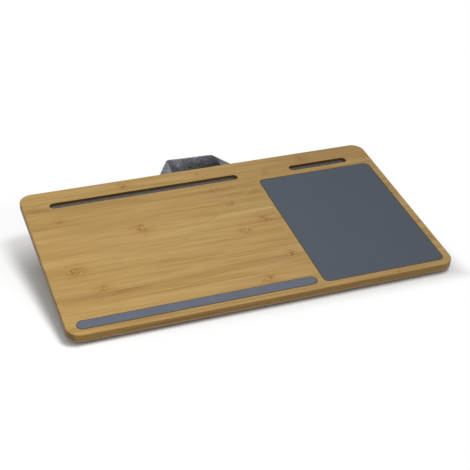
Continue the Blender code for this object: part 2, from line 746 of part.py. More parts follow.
def leg_section(side, share):
    """The leg's two edge points between the seam (share 0) and the board's back edge (share 1)."""
    middle = handle_end(side) - side * LEG_TOE_IN * share
    y = SEAM_PLACE + (HALF_DEPTH - SEAM_PLACE) * share
    at_seam = (STRAP_TOP + STRAP_UNDERSIDE) / 2
    at_edge = BOARD_UNDERSIDE - FIT_GAP - STRAP_THICKNESS / 2
    z = at_seam + (at_edge - at_seam) * share
    outer = Vector((middle + side * STRAP_WIDTH / 2, y, z))
    inner = Vector((middle - side * STRAP_WIDTH / 2, y, z))
    return outer, inner


def corner(side):
    """One of the two upper corners of the standing band."""
    x = HANDLE_TOP_CENTRE + side * HANDLE_TOP_LENGTH / 2
    return Vector((x, HANDLE_TOP_PLACE, HANDLE_RISE - (1 + side) * HANDLE_TOP_DROOP / 2))


def crease(side):
    """The two ends of the fold between leg and band: on the strap's outer edge, and on its inner edge."""
    outer, inner = leg_section(side, 1)
    setback = LEFT_CREASE_SETBACK if side < 0 else RIGHT_CREASE_SETBACK
    down = (outer - corner(side)).normalized()
    behind = inner + Vector((-side * FOLD_CANT, FOLD_RUN, -FOLD_CANT))
    return corner(side) + down * setback, behind


def fold_section(side, share):
    """Between the board's back edge (share 0) and the crease (share 1): the strap turns on its inner edge."""
    outer, inner = leg_section(side, 1)
    crease_outer, crease_inner = crease(side)
    return outer.lerp(crease_outer, share), inner.lerp(crease_inner, share)


def band_sections():
    """The standing band from crease to crease: its lower edge leaves the folds and drops in the middle."""
    left_end, left_behind = crease(-1)
    right_end, right_behind = crease(1)
    uppers = [left_end.lerp(corner(1), step / BAND_STEPS) for step in range(BAND_STEPS + 1)]
    uppers += [corner(1).lerp(right_end, step / TURN_STEPS) for step in range(1, TURN_STEPS + 1)]
    sections = []
    for index, upper in enumerate(uppers):
        share = index / (len(uppers) - 1)
        fold = left_behind.lerp(right_behind, share)
        hanging = Vector((fold.x, HANDLE_TOP_PLACE - BAND_LEAN, upper.z - BAND_DROP))
        sections.append((upper, fold.lerp(hanging, math.sin(math.pi * share) ** BAND_DROP_POWER)))
    return sections


def handle_sections():
    """Every section of the handle, from its left end to its right end, as pairs of edge points."""
    left = [leg_section(-1, step / LEG_STEPS) for step in range(LEG_STEPS)]
    left += [fold_section(-1, step / FOLD_STEPS) for step in range(FOLD_STEPS)]
    right = [fold_section(1, step / FOLD_STEPS) for step in reversed(range(FOLD_STEPS))]
    right += [leg_section(1, step / LEG_STEPS) for step in reversed(range(LEG_STEPS))]
    return left + band_sections() + right


def make_handle():
    """The carry handle: a flat strap, folded at its two corners, that turns at its seam."""
    axis = Vector((0, SEAM_PLACE, STRAP_UNDERSIDE))
    pivot = bpy.data.objects.new("handle_pivot", None)
    pivot.location = axis
    pivot.parent = CARRIER
    PIECES.objects.link(pivot)
    rows = [
        [outer.lerp(inner, column / STRAP_COLUMNS) - axis for column in range(STRAP_COLUMNS + 1)]
        for outer, inner in handle_sections()
    ]
    strap = piece("handle_strap", surface_mesh("handle_strap", rows), MARL, carrier=pivot)
    thicken(strap, STRAP_THICKNESS, 0)


def make_tabs():
    """The handle's two sewn ends under the top panel, and the bar tacks that hold them."""
    length = TAB_LENGTH + SEAM_STANDOFF - FIT_GAP
    middle = SEAM_PLACE - FIT_GAP - length / 2
    tack_height = STRAP_UNDERSIDE - FIT_GAP - BAR_TACK_THICKNESS / 2
    for side, name in ((-1, "left"), (1, "right")):
        x = handle_end(side)
        tab = box_mesh("handle_tab", (STRAP_WIDTH, length, STRAP_THICKNESS))
        piece("handle_tab_" + name, tab, MARL, (x, middle, (STRAP_TOP + STRAP_UNDERSIDE) / 2), CARRIER)
        for step, row in ((-1, "front"), (1, "back")):
            tack = box_mesh("handle_bar_tack", (BAR_TACK_LENGTH, BAR_TACK_WIDTH, BAR_TACK_THICKNESS))
            y = middle + (step * BAR_TACK_SPACING - SEAM_STANDOFF) / 2
            piece(f"handle_bar_tack_{name}_{row}", tack, THREAD, (x, y, tack_height), CARRIER)


# Place of the zip: halfway up the rear wall, where the wall stands upright
REAR_FOOT_HEIGHT = seam_height(BASE_DEPTH / 2) + PIPING_RADIUS + FIT_GAP
REAR_HEAD = BOARD_FRAME @ Vector((0, COVER_DEPTH / 2, BACKING_TOP))
ZIP_HEIGHT = (REAR_FOOT_HEIGHT + REAR_HEAD.z) / 2
WALL_FOOT_FACE = BASE_PLACE + BASE_DEPTH / 2
WALL_FACE = (WALL_FOOT_FACE + REAR_HEAD.y) / 2 + WALL_BULGE_SHARE * (REAR_HEAD.z - REAR_FOOT_HEIGHT)
CHAIN_BACK = WALL_FACE - CHAIN_THICKNESS
TAPE_FACE = CHAIN_BACK - FIT_GAP
PLATE_BACK = WALL_FACE + FIT_GAP
PLATE_FACE = PLATE_BACK + SLIDER_PLATE_THICKNESS
SLIDER_PLACE = ZIP_LENGTH / 2 - STOP_LENGTH - FIT_GAP - SLIDER_LENGTH / 2
PULL_EYE_RADIUS = PIN_RADIUS + FIT_GAP
PULL_BARREL_RADIUS = PULL_EYE_RADIUS + PULL_EYE_WALL
PIN_PLACE = PLATE_FACE + PULL_BARREL_RADIUS + FIT_GAP
PIN_HEIGHT = ZIP_HEIGHT + SLIDER_PIN_RISE


def make_zip():
    """The zip's fixed pieces: its tapes inside the wall, the chain sewn to them and the chain's stops."""
    length = ZIP_LENGTH - 2 * (STOP_LENGTH + FIT_GAP)
    chain_y = (WALL_FACE + CHAIN_BACK) / 2
    chain = box_mesh("zip_chain", (length, CHAIN_THICKNESS, CHAIN_HEIGHT))
    piece("zip_chain", chain, ZIP_PLASTIC, (0, chain_y, ZIP_HEIGHT))
    for side, name in ((-1, "lower"), (1, "upper")):
        height = ZIP_HEIGHT + side * (TAPE_PARTING + TAPE_HEIGHT) / 2
        tape = box_mesh("zip_tape", (ZIP_LENGTH, TAPE_THICKNESS, TAPE_HEIGHT))
        piece("zip_tape_" + name, tape, LINING, (0, TAPE_FACE - TAPE_THICKNESS / 2, height))
    for side, name in ((-1, "left"), (1, "right")):
        stop = box_mesh("zip_stop", (STOP_LENGTH, CHAIN_THICKNESS, CHAIN_HEIGHT))
        stop_x = side * (ZIP_LENGTH - STOP_LENGTH) / 2
        piece("zip_stop_" + name, stop, ZIP_METAL, (stop_x, chain_y, ZIP_HEIGHT))


def make_slider():
    """The slider: a plate over the chain, its two flanges, and two ears that carry the pull's pin."""
    middle = (PLATE_BACK + PLATE_FACE) / 2
    place = (SLIDER_PLACE, middle, ZIP_HEIGHT)
    plate = box_mesh("zip_slider", (SLIDER_LENGTH, SLIDER_PLATE_THICKNESS, SLIDER_HEIGHT))
    slider = piece("zip_slider", plate, ZIP_METAL, place)
    round_edges(slider, SLIDER_EDGE_RADIUS, 2)
    pin_y = PIN_PLACE - middle
    pin_z = PIN_HEIGHT - ZIP_HEIGHT
    flange_depth = middle - TAPE_FACE - FIT_GAP
    flange_size = (SLIDER_FLANGE_LENGTH, flange_depth, SLIDER_FLANGE_THICKNESS)
    ear_depth = pin_y + PIN_RADIUS + EAR_WALL
    ear_size = (EAR_THICKNESS, ear_depth, EAR_WIDTH)
    ear_gap = PULL_BARREL_LENGTH + 2 * FIT_GAP
    shapes = [rod_mesh("slider_pin", PIN_RADIUS, ear_gap + EAR_THICKNESS, (0, pin_y, pin_z))]
    for side in (-1, 1):
        flange_z = side * (CHAIN_HEIGHT / 2 + FIT_GAP + SLIDER_FLANGE_THICKNESS / 2)
        shapes.append(box_mesh("slider_flange", flange_size, (0, -flange_depth / 2, flange_z)))
        ear_x = side * (ear_gap + EAR_THICKNESS) / 2
        shapes.append(box_mesh("slider_ear", ear_size, (ear_x, ear_depth / 2, pin_z)))
    join(slider, *[cutter(mesh.name, mesh, place) for mesh in shapes])


def make_pull():
    """The pull: a tongue with a barrel round the slider's pin, which hangs down at rest."""
    pivot = bpy.data.objects.new("pull_pivot", None)
    pivot.location = (SLIDER_PLACE, PIN_PLACE, PIN_HEIGHT)
    PIECES.objects.link(pivot)
    tongue = PULL_LENGTH - PULL_WIDTH / 2
    half_neck = PULL_NECK_WIDTH / 2
    steps = FINE_STEPS // 2
    outline = [(half_neck, 0), (-half_neck, 0), (-half_neck, -PULL_NECK_LENGTH)]
    outline += quarter_arc(0, -tongue, PULL_WIDTH / 2, 2, steps)
    outline += quarter_arc(0, -tongue, PULL_WIDTH / 2, 3, steps)[1:]
    outline += [(half_neck, -PULL_NECK_LENGTH)]
    pull = piece("zip_pull", slab_mesh("zip_pull", outline, PULL_THICKNESS), ZIP_METAL, carrier=pivot)
    pull.rotation_euler = (QUARTER_TURN, 0, 0)
    barrel = rod_mesh("pull_barrel", PULL_BARREL_RADIUS, PULL_BARREL_LENGTH)
    eye = rod_mesh("pull_eye", PULL_EYE_RADIUS, PULL_BARREL_LENGTH + OVERRUN)
    window = stadium("pull_window", PULL_WINDOW_LENGTH, PULL_WINDOW_WIDTH, PULL_THICKNESS + OVERRUN)
    window_z = (PULL_WINDOW_LENGTH - PULL_WINDOW_WIDTH) / 2 - tongue
    hole = cutter("pull_window", window, (0, 0, window_z), pivot)
    hole.rotation_euler = (QUARTER_TURN, QUARTER_TURN, 0)
    join(pull, cutter("pull_barrel", barrel, carrier=pivot))
    cut(pull, cutter("pull_eye", eye, carrier=pivot), hole)


SCREW_BORES = make_screw_bores()
make_board()
make_inlays()
make_backing()
make_screws()
make_top_panel()
make_wall()
make_base()
make_piping()
make_filling()
make_handle()
make_tabs()
make_zip()
make_slider()
make_pull()
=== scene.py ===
"""Looks of the lap desk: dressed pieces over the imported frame, materials, floor, light and camera.

Metres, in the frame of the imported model. The sizes below repeat the CAD source's.
"""

import math
from functools import reduce

import bmesh
import bpy
import numpy as np
from mathutils import Matrix, Vector
from mathutils.geometry import tessellate_polygon


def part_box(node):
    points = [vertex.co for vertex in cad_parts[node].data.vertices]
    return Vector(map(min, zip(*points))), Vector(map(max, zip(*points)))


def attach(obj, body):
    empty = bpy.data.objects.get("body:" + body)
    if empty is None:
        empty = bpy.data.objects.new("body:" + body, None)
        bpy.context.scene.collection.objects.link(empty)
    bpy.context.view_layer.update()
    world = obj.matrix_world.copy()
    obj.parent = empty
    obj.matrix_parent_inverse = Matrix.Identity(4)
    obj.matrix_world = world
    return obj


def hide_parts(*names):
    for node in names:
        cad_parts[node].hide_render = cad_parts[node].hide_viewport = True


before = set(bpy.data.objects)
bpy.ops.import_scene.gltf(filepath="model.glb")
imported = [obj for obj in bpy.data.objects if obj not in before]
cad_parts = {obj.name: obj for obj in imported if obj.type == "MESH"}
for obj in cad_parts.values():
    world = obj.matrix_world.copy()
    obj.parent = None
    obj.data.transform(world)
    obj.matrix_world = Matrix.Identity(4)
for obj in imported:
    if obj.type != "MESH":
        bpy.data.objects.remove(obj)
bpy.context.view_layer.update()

# Board, in its own frame: the origin is the centre of its top face
TILT = math.radians(8.8)
FRAME_PLACE = -0.013941
FRAME_HEIGHT = 0.039336
BOARD_FRAME = Matrix.Translation((0, FRAME_PLACE, FRAME_HEIGHT)) @ Matrix.Rotation(TILT, 4, "X")
BOARD_LENGTH = 0.550
BOARD_DEPTH = 0.320
BOARD_THICKNESS = 0.012
BOARD_CORNER_RADIUS = 0.019
BOARD_EDGE_RADIUS = 0.0018
FIT_GAP = 0.0003

# Inlays and slots: length, width, corner radius, x, y
PAD = (0.1833, 0.2543, 0.009, 0.17185, -0.02205)
STRIP = (0.3321, 0.0173, 0.00865, -0.09435, -0.14065)
DEVICE_SLOT = (0.2887, 0.0128, 0.0064, -0.09145, 0.1223)
PHONE_SLOT = (0.0956, 0.0128, 0.0064, 0.1862, 0.1223)
PAD_THICKNESS = 0.001
PAD_POCKET_DEPTH = 0.0026
STRIP_THICKNESS = 0.002
STRIP_GROOVE_DEPTH = 0.0023
SLOT_DEPTH = 0.0061
LINER_THICKNESS = 0.0017
RIM_RADIUS = 0.0006
FINE_RIM_RADIUS = 0.0003

# Cushion, on the floor
COVER_LENGTH = 0.470
COVER_DEPTH = 0.240
COVER_CORNER_RADIUS = 0.030
FABRIC_THICKNESS = 0.0012
PIPING_RADIUS = 0.0015
PANEL_TOP = -0.0123
BACKING_TOP = -0.0138
BACKING_UNDERSIDE = -0.0168
BASE_DEPTH = COVER_DEPTH * math.cos(TILT)
BASE_PLACE = FRAME_PLACE - BACKING_TOP * math.sin(TILT)
BASE_INSET = 0.0018
SEAM_FRONT_HEIGHT = 0.0026
SEAM_REAR_HEIGHT = 0.008
WALL_BULGE_SHARE = 0.09
PASSAGE_SHARE = 0.3
PASSAGE_FADE = 0.007
STIFF_WALL_HEIGHT = 0.010
STITCHED_WALL_HEIGHT = 0.018
PIPING_SWAY = 0.0002
EDGE_ROLL_WIDTH = 0.022
WRINKLE_HEIGHT = 0.0012
VALLEY_PLACE = (0.42 - 1 / 2) * BASE_DEPTH
VALLEY_HALF_WIDTH = 0.024
VALLEY_HEIGHT = 0.011
VALLEY_SIDE_RISE = 0.005
BAFFLE_ROOM = 0.0024
BAG_INSET = 0.005
BAG_SPACING = 0.009
LUMP_HEIGHT = 0.0004

# Handle, in the board's frame
STRAP_WIDTH = 0.028
STRAP_THICKNESS = 0.0024
STRAP_TOP = -0.0138
STRAP_UNDERSIDE = -0.0162
SEAM_PLACE = 0.1215
TAB_LENGTH = 0.0232
HANDLE_SPAN = 0.122
HANDLE_CENTRE = 0.005
LEG_TOE_IN = 0.0075
HANDLE_TOP_PLACE = 0.187
HANDLE_RISE = 0.0042
HANDLE_TOP_LENGTH = 0.073
HANDLE_TOP_CENTRE = -0.0025
HANDLE_TOP_DROOP = 0.0025
RIGHT_CREASE_SETBACK = 0.0124
FOLD_RUN = 0.0055
FOLD_CANT = 0.0014
BAND_DROP = 0.027
BAND_LEAN = 0.005
BAND_DROP_POWER = 0.6
STRAP_COLUMNS = 15
EDGE_TURNS = np.linspace(0, math.pi, 7)[1:-1]

# Threads: topstitching, and the bar tacks of the handle's ends
STITCH_START = 0.0006
STITCH_LENGTH = 0.0030
STITCH_SPACE = 0.0011
STITCH_THICKNESS = 0.00035
STITCH_RADIUS = 0.62 * STITCH_THICKNESS
TACK_LENGTH = 0.0234
TACK_PASSES = 52
TACK_SWING = 0.0009
TACK_GAP = 0.012
TACK_SHIFT = 0.0015

# Zip, in the cushion's rear wall. A coil turn's sections: height, half width, share of the chain's depth
ZIP_LENGTH = 0.340
COIL_PITCH = 0.00125
COIL_SECTIONS = (
    (0.00195, 0.00028, 0.35),
    (0.0012, 0.00036, 0.72),
    (0.0002, 0.00040, 0.95),
    (-0.0004, 0.00052, 1.0),
    (-0.0008, 0.00040, 0.75),
)
SCREW_COUNT = 15

# Cloth simulation
CLOTH_STEPS = 24
CLOTH_SETTINGS = {
    "quality": 8,
    "mass": 0.2,
    "tension_stiffness": 20,
    "compression_stiffness": 12,
    "shear_stiffness": 6,
    "bending_stiffness": 0.4,
    "tension_damping": 12,
    "compression_damping": 12,
    "shear_damping": 12,
    "air_damping": 2,
    "use_pressure": True,
    "vertex_group_mass": "sewn",
    "pin_stiffness": 10,
}

# Floor, light and camera
FLOOR_CLEARANCE = 0.0004
FLOOR_REACH = 12
AMBIENT = 0.44
KEY_PLACE = (0.69, 0.0, 2.3)
KEY_AIM = (-0.6, -0.25, 0)
CAMERA_PLACE = (-0.48579, -1.34089, 0.79666)
CAMERA_DROP = 28.5226
CAMERA_TURN = 20.2838
CAMERA_LENS = 86.180
SEED = 7


# Materials


class Nodes:
    """A node tree, written as short calls that return sockets."""

    def __init__(self, tree):
        self.tree = tree

    def give(self, socket, value):
        if isinstance(value, bpy.types.NodeSocket):
            self.tree.links.new(value, socket)
        else:
            socket.default_value = value

    def node(self, kind, inputs=(), **settings):
        made = self.tree.nodes.new("ShaderNode" + kind)
        for key, value in settings.items():
            setattr(made, key, value)
        for key, value in dict(inputs).items():
            self.give(made.inputs[key], value)
        return made

    def math(self, operation, first, second=0.0, third=0.0):
        return self.node("Math", {0: first, 1: second, 2: third}, operation=operation).outputs[0]

    def chain(self, operation, values):
        return reduce(lambda first, second: self.math(operation, first, second), values)

    def total(self, *values):
        return self.chain("ADD", values)

    def times(self, *values):
        return self.chain("MULTIPLY", values)

    def most(self, *values):
        return self.chain("MAXIMUM", values)

    def line(self, value, slope, start):
        """A value times its slope, plus a start."""
        return self.math("MULTIPLY_ADD", value, slope, start)

    def span(self, value, low, high, start=0.0, end=1.0):
        """Eases from start, where the value is low, to end, where it is high."""
        inputs = {"Value": value, "From Min": low, "From Max": high, "To Min": start, "To Max": end}
        return self.node("MapRange", inputs, interpolation_type="SMOOTHSTEP").outputs["Result"]

    def seen(self):
        """1 where the camera looks, directly, by gloss or through glass, and 0 for gathered light."""
        path = self.node("LightPath").outputs
        return self.most(path["Is Camera Ray"], path["Is Glossy Ray"], path["Is Transmission Ray"])


class Shade(Nodes):
    """A material's nodes."""

    def __init__(self, name, **shader):
        self.material = bpy.data.materials.new(name)
        self.material.use_nodes = True
        super().__init__(self.material.node_tree)
        self.shader = self.tree.nodes["Principled BSDF"]
        for socket, value in shader.items():
            self.shader.inputs[socket.replace("_", " ")].default_value = value

    def place(self):
        return self.node("TexCoord").outputs["Object"]

    def cloth(self):
        return self.node("UVMap", uv_map="cloth").outputs["UV"]

    def split(self, where):
        """The x, y and z of a place or a direction."""
        return self.node("SeparateXYZ", {"Vector": where}).outputs

    def vector(self, operation, first, second=(0, 0, 0), third=(0, 0, 0)):
        made = self.node("VectorMath", {0: first, 1: second, 2: third}, operation=operation)
        return made.outputs["Value" if operation in ("LENGTH", "DOT_PRODUCT") else "Vector"]

    def noise(self, where, scale, detail=2.0, roughness=0.5, distortion=0.0):
        """Cloudy noise; its scale is one number, or one for each axis."""
        scale = scale if isinstance(scale, tuple) else (scale, scale, scale)
        inputs = {"Vector": self.vector("MULTIPLY", where, scale), "Scale": 1.0, "Detail": detail}
        inputs |= {"Roughness": roughness, "Distortion": distortion}
        return self.node("TexNoise", inputs).outputs["Fac"]

    def border(self, where, shape, width):
        """1 along the outline of an inlay, 0 from that width inwards."""
        length, depth, corner, x, y = shape
        centred = self.vector("MULTIPLY_ADD", where, (1, 1, 0), (-x, -y, 0))
        core = (length / 2 - corner, depth / 2 - corner, 0)
        past = self.vector("MAXIMUM", self.vector("SUBTRACT", self.vector("ABSOLUTE", centred), core))
        return self.span(self.vector("LENGTH", past), corner - width, corner - width / 2)

    def ramp(self, factor, *stops):
        made = self.node("ValToRGB", {"Fac": factor})
        elements = made.color_ramp.elements
        while len(elements) < len(stops):
            elements.new(0.5)
        for element, (position, color) in zip(elements, stops):
            element.position = position
            element.color = (*color, 1.0)
        return made.outputs["Color"]

    def mix(self, factor, first, second, blend="MIX"):
        made = self.node("Mix", data_type="RGBA", blend_type=blend)
        for index, value in ((0, factor), (6, first), (7, second)):
            self.give(made.inputs[index], (*value, 1.0) if isinstance(value, tuple) else value)
        return made.outputs[2]

    def dimmed(self, color, share):
        """The colour times a share."""
        grey = self.node("CombineColor", {0: share, 1: share, 2: share}).outputs[0]
        return self.mix(1.0, color, grey, "MULTIPLY")

    def bump(self, height, distance, strength=1.0, normal=None):
        inputs = {"Height": height, "Distance": distance, "Strength": strength}
        if normal is not None:
            inputs["Normal"] = normal
        return self.node("Bump", inputs).outputs["Normal"]

    def finish(self, color=None, roughness=None, normal=None):
        for name, value in (("Base Color", color), ("Roughness", roughness), ("Normal", normal)):
            if value is not None:
                self.give(self.shader.inputs[name], value)
        return self.material


def toned(color, factor):
    """The colour made darker or lighter."""
    return tuple(min(channel * factor, 1.0) for channel in color)


# Nodes of the culms in the bamboo, in the board's frame: x, y, half length, half width, strength
BAMBOO_MARKS = (
    (-0.1228, 0.0361, 0.0105, 0.0100, 1.00),
    (-0.2352, -0.0350, 0.0110, 0.0100, 0.95),
    (-0.2085, -0.0775, 0.0110, 0.0090, 0.65),
    (-0.2304, 0.0805, 0.0090, 0.0090, 0.45),
    (-0.1199, 0.1420, 0.0085, 0.0080, 0.60),
    (0.0062, 0.1010, 0.0085, 0.0085, 0.55),
    (0.0193, 0.0570, 0.0095, 0.0090, 0.45),
    (0.0530, 0.0110, 0.0100, 0.0090, 0.75),
    (0.0170, -0.0108, 0.0105, 0.0095, 0.65),
    (0.0601, -0.0760, 0.0085, 0.0095, 0.60),
    (0.0094, -0.1195, 0.0110, 0.0085, 0.60),
    (-0.0045, 0.1450, 0.0085, 0.0070, 0.35),
    (0.1650, 0.1430, 0.0095, 0.0085, 0.50),
    (0.2690, 0.0340, 0.0070, 0.0090, 0.45),
    (0.2690, -0.0960, 0.0065, 0.0090, 0.40),
    (-0.1660, 0.0130, 0.0080, 0.0080, 0.18),
    (-0.2560, 0.1220, 0.0075, 0.0085, 0.30),
    (0.0985, 0.1225, 0.0085, 0.0085, 0.35),
    (-0.0550, -0.0540, 0.0075, 0.0080, 0.14),
    (-0.1400, -0.1560, 0.0090, 0.0050, 0.30),
    (0.1900, -0.1560, 0.0090, 0.0050, 0.35),
)
BAMBOO_STRIP_WIDTH = 0.0219
BAMBOO_STRIP_START = 0.1545
BAMBOO_LAYERS = 3
MARK_REACH = 2.6

# Colours along a ramp: place, colour
BAMBOO_TONES = (
    (0.12, (0.285, 0.148, 0.034)),
    (0.36, (0.362, 0.207, 0.050)),
    (0.52, (0.425, 0.256, 0.068)),
    (0.68, (0.475, 0.302, 0.092)),
    (0.92, (0.530, 0.360, 0.135)),
)
MARL_TONES = ((0.15, (0.060, 0.064, 0.086)), (0.48, (0.198, 0.208, 0.242)), (0.85, (0.480, 0.492, 0.530)))
PAD_TONES = ((0.25, (0.046, 0.060, 0.080)), (0.5, (0.056, 0.072, 0.095)), (0.8, (0.068, 0.085, 0.110)))
FELT_TONES = ((0.3, (0.045, 0.044, 0.042)), (0.5, (0.074, 0.072, 0.068)), (0.75, (0.120, 0.116, 0.108)))
HARDBOARD_TONES = ((0.3, (0.135, 0.072, 0.032)), (0.5, (0.225, 0.128, 0.062)), (0.75, (0.33, 0.205, 0.11)))


def bamboo_material():
    """Lacquered bamboo strips, their grain along X, with the culms' nodes."""
    s = Shade("bamboo", Specular_IOR_Level=0.3)
    place = s.place()
    near = 0.0
    wide = 0.0
    for x, y, half_length, half_width, strength in BAMBOO_MARKS:
        scale = (1 / half_length, 1 / half_width, 0)
        offset = s.vector("MULTIPLY_ADD", place, scale, (-x * scale[0], -y * scale[1], 0))
        distance = s.vector("LENGTH", offset)
        near = s.most(near, s.line(distance, -strength, strength))
        wide = s.most(wide, s.line(distance, -strength / MARK_REACH, strength))
    near = s.span(near, 0.0, 0.40)
    wide = s.span(wide, 0.0, 0.8)

    # Each strip of each layer has its own tone and its own stretch of the grain, which bends round the nodes
    x, y, z = s.split(place)
    strip = s.math("FLOOR", s.math("DIVIDE", s.total(y, -BAMBOO_STRIP_START), BAMBOO_STRIP_WIDTH))
    layers_up = s.math("DIVIDE", z, BOARD_THICKNESS / BAMBOO_LAYERS)
    key = s.total(strip, s.times(s.math("FLOOR", layers_up), 37.0))
    chance = s.node("TexWhiteNoise", {"W": key}, noise_dimensions="1D").outputs
    shift = s.vector("MULTIPLY", chance["Color"], (2.0, 0.3, 0.3))
    bend = s.math("SUBTRACT", s.noise(place, (55, 110, 110), 1.0), 0.5)
    bend = s.times(bend, s.line(wide, 0.009, 0.0012))
    bent = s.node("CombineXYZ", {"X": 0.0, "Y": bend, "Z": bend}).outputs["Vector"]
    grain_place = s.vector("ADD", s.vector("ADD", place, shift), bent)
    tone = s.line(s.noise(grain_place, (4.5, 70, 70)), 0.95, -0.475)
    tone = s.total(tone, s.line(s.noise(grain_place, (9.0, 330, 330), 2.0, 0.6), 0.70, -0.35))
    tone = s.total(tone, s.line(s.noise(grain_place, (24.0, 1250, 1250), 2.0, 0.6), 0.55, -0.275))
    tone = s.total(tone, s.line(chance["Value"], 0.14, 0.47))
    color = s.ramp(tone, *BAMBOO_TONES)

    # The culm's nodes: a brown cloud along the grain, dark arcs across it and pale dashes between them
    smear = s.times(wide, s.span(s.noise(grain_place, (45, 240, 240), 2.0, 0.6), 0.34, 0.62))
    color = s.mix(smear, color, (0.87, 0.75, 0.50), "MULTIPLY")
    dark = s.times(near, s.span(s.noise(place, (330, 120, 120), 2.0, 0.6, 2.4), 0.45, 0.56))
    color = s.mix(dark, color, (0.62, 0.40, 0.12), "MULTIPLY")
    pale = s.times(near, s.span(s.noise(place, (190, 640, 640), 1.0, 0.5, 0.6), 0.54, 0.64), 0.65)
    color = s.mix(pale, color, (0.60, 0.42, 0.17))

    # Upright faces are darker, partly for their sawn grain and partly as painted shade on faces turned from
    # the light; end grain is darker still, and the walls of the slots, pocket and groove get painted shade
    facing = s.split(s.node("TexCoord").outputs["Normal"])
    upright = s.math("ABSOLUTE", facing["Z"])
    # Painted shade, with some real edge grain: upright and rounded faces darker
    color = s.mix(s.span(upright, 0.95, 0.25, 0.0, 0.55), color, (0.60, 0.50, 0.36), "MULTIPLY")
    end_grain = s.span(s.math("ABSOLUTE", facing["X"]), 0.35, 0.85)
    inward_x = s.math("SUBTRACT", BOARD_LENGTH / 2, s.math("ABSOLUTE", x))
    inward_y = s.math("SUBTRACT", BOARD_DEPTH / 2, s.math("ABSOLUTE", y))
    # Painted shade on the upright walls inside the board's outline: slots, pocket and groove
    painted_wall_shade = s.times(s.span(s.math("MINIMUM", inward_x, inward_y), 0.003, 0.004), s.span(upright, 0.9, 0.3))
    color = s.mix(s.most(end_grain, painted_wall_shade), color, (0.58, 0.58, 0.60), "MULTIPLY")

    # The lower arris is painted paler, a painted reflection of the bright floor below it, and the glue lines
    # of the layers show on the edges
    foot = s.span(z, 0.0027 - BOARD_THICKNESS, 0.0019 - BOARD_THICKNESS)
    color = s.mix(s.times(foot, s.span(upright, 0.95, 0.5), 0.8), color, (0.46, 0.38, 0.27))
    from_middle = s.math("ABSOLUTE", s.math("SUBTRACT", s.math("FRACT", layers_up), 0.5))
    glue = s.times(s.span(from_middle, 0.44, 0.49, 0.0, 0.45), s.span(upright, 0.5, 0.2))
    color = s.mix(glue, color, (0.13, 0.065, 0.02))

    fibre = s.noise(place, (20, 1500, 1500), 2.0, 0.6)
    return s.finish(color, s.line(fibre, 0.20, 0.34), s.bump(fibre, 0.00010, 0.5))


def weave(s, where, pitch):
    """A plain weave: (height, share of weft on top) of yarns at that pitch, from a place in metres."""
    half_turn = math.pi / pitch
    x, y, _ = s.split(where)
    crossing = s.times(s.math("SINE", s.times(x, half_turn)), s.math("SINE", s.times(y, half_turn)))
    return s.math("POWER", s.math("ABSOLUTE", crossing), 0.6), s.span(crossing, -0.25, 0.25)


def yarns(s, where, weft, along, across, detail=2.0, roughness=0.5):
    """Noise drawn out along whichever yarn lies on top."""
    warp_noise = s.noise(where, (along, across, 1), detail, roughness)
    weft_noise = s.noise(where, (across, along, 1), detail, roughness)
    return s.mix(weft, warp_noise, weft_noise)


def handle_painted_light(s):
    """Painted light and shade on the handle's cloth: painted light at the band's top edge and on both legs,
    painted shade in the fold by the left crease, low down and towards the right.
    """
    x, _, z = s.split(s.place())
    from_left_crease = s.total(x, s.line(z, 0.309, 0.0377))
    # Painted light and shade on the standing band: paler towards its top, darker towards the right, in the
    # fold by the left crease and low down
    standing = s.times(
        s.span(z, -0.013, 0.002, 1.05, 2.1),
        s.span(x, 0.004, 0.034, 1.0, 0.5),
        s.span(from_left_crease, 0.0, 0.020, 0.32, 1.0),
        s.span(z, -0.0190, -0.0145, 0.45, 1.0),
    )
    # Painted light on both legs
    leg_painted_light = s.most(s.span(from_left_crease, 0.0006, -0.0012), s.span(x, 0.0428, 0.0444))
    return s.node("Mix", {0: leg_painted_light, 2: standing, 3: 1.45}).outputs[0]


def marl_material(name, pitch, blotched_and_painted_light=False):
    """Heather cloth: pale and dark fibres in both yarns of a plain weave, with painted shade between the
    yarns, and for the handle random blotches with painted light and shade if asked.
    """
    s = Shade(name, Sheen_Weight=0.25, Sheen_Roughness=0.5, Specular_IOR_Level=0.2, Roughness=0.92)
    where = s.cloth()
    wobble = s.node("TexNoise", {"Vector": where, "Scale": 900.0, "Detail": 1.0}).outputs["Color"]
    wobble = s.vector("MULTIPLY_ADD", wobble, (0.0003, 0.0003, 0), (-0.00015, -0.00015, 0))
    where = s.vector("ADD", where, wobble)
    height, weft = weave(s, where, pitch)
    tone = s.line(yarns(s, where, weft, 110, 1 / pitch, 3.0, 0.7), 1.5, -0.75)
    tone = s.total(tone, s.line(s.noise(where, (420, 420, 1), 3.0, 0.7), 0.7, -0.35))
    tone = s.total(tone, s.line(s.noise(where, (45, 45, 1)), 0.35, 0.33))
    # Painted shade between the yarns: darker where the weave sinks
    between = s.span(height, 0.0, 0.55, 0.55, 1.0)
    if blotched_and_painted_light:
        # Random blotches of tone, and painted light and shade on the handle's legs, band and fold
        blotches = s.span(s.noise(where, (190, 190, 1), 3.0, 0.6), 0.3, 0.7, 0.7, 1.3)
        between = s.times(between, s.times(blotches, handle_painted_light(s)))
    color = s.dimmed(s.ramp(tone, *MARL_TONES), between)
    normal = s.bump(height, 0.00035, 0.8)
    return s.finish(color, None, s.bump(s.noise(where, (2600, 2600, 1)), 0.0001, 0.5, normal))


def plain_weave_material(name, color, pitch, contrast=0.35):
    """A plain dyed cloth with small changes of tone from yarn to yarn, and painted shade between the yarns.
    """
    s = Shade(name, Sheen_Weight=0.15, Specular_IOR_Level=0.25, Roughness=0.95)
    where = s.cloth()
    height, weft = weave(s, where, pitch)
    tone = yarns(s, where, weft, 90, 1 / pitch)
    shade = s.ramp(tone, (0.3, toned(color, 1 - contrast)), (0.7, toned(color, 1 + contrast)))
    # Painted shade between the yarns: darker where the weave sinks
    shade = s.dimmed(shade, s.span(height, 0.0, 0.5, 0.6, 1.0))
    return s.finish(shade, None, s.bump(height, pitch * 0.3, 0.7))


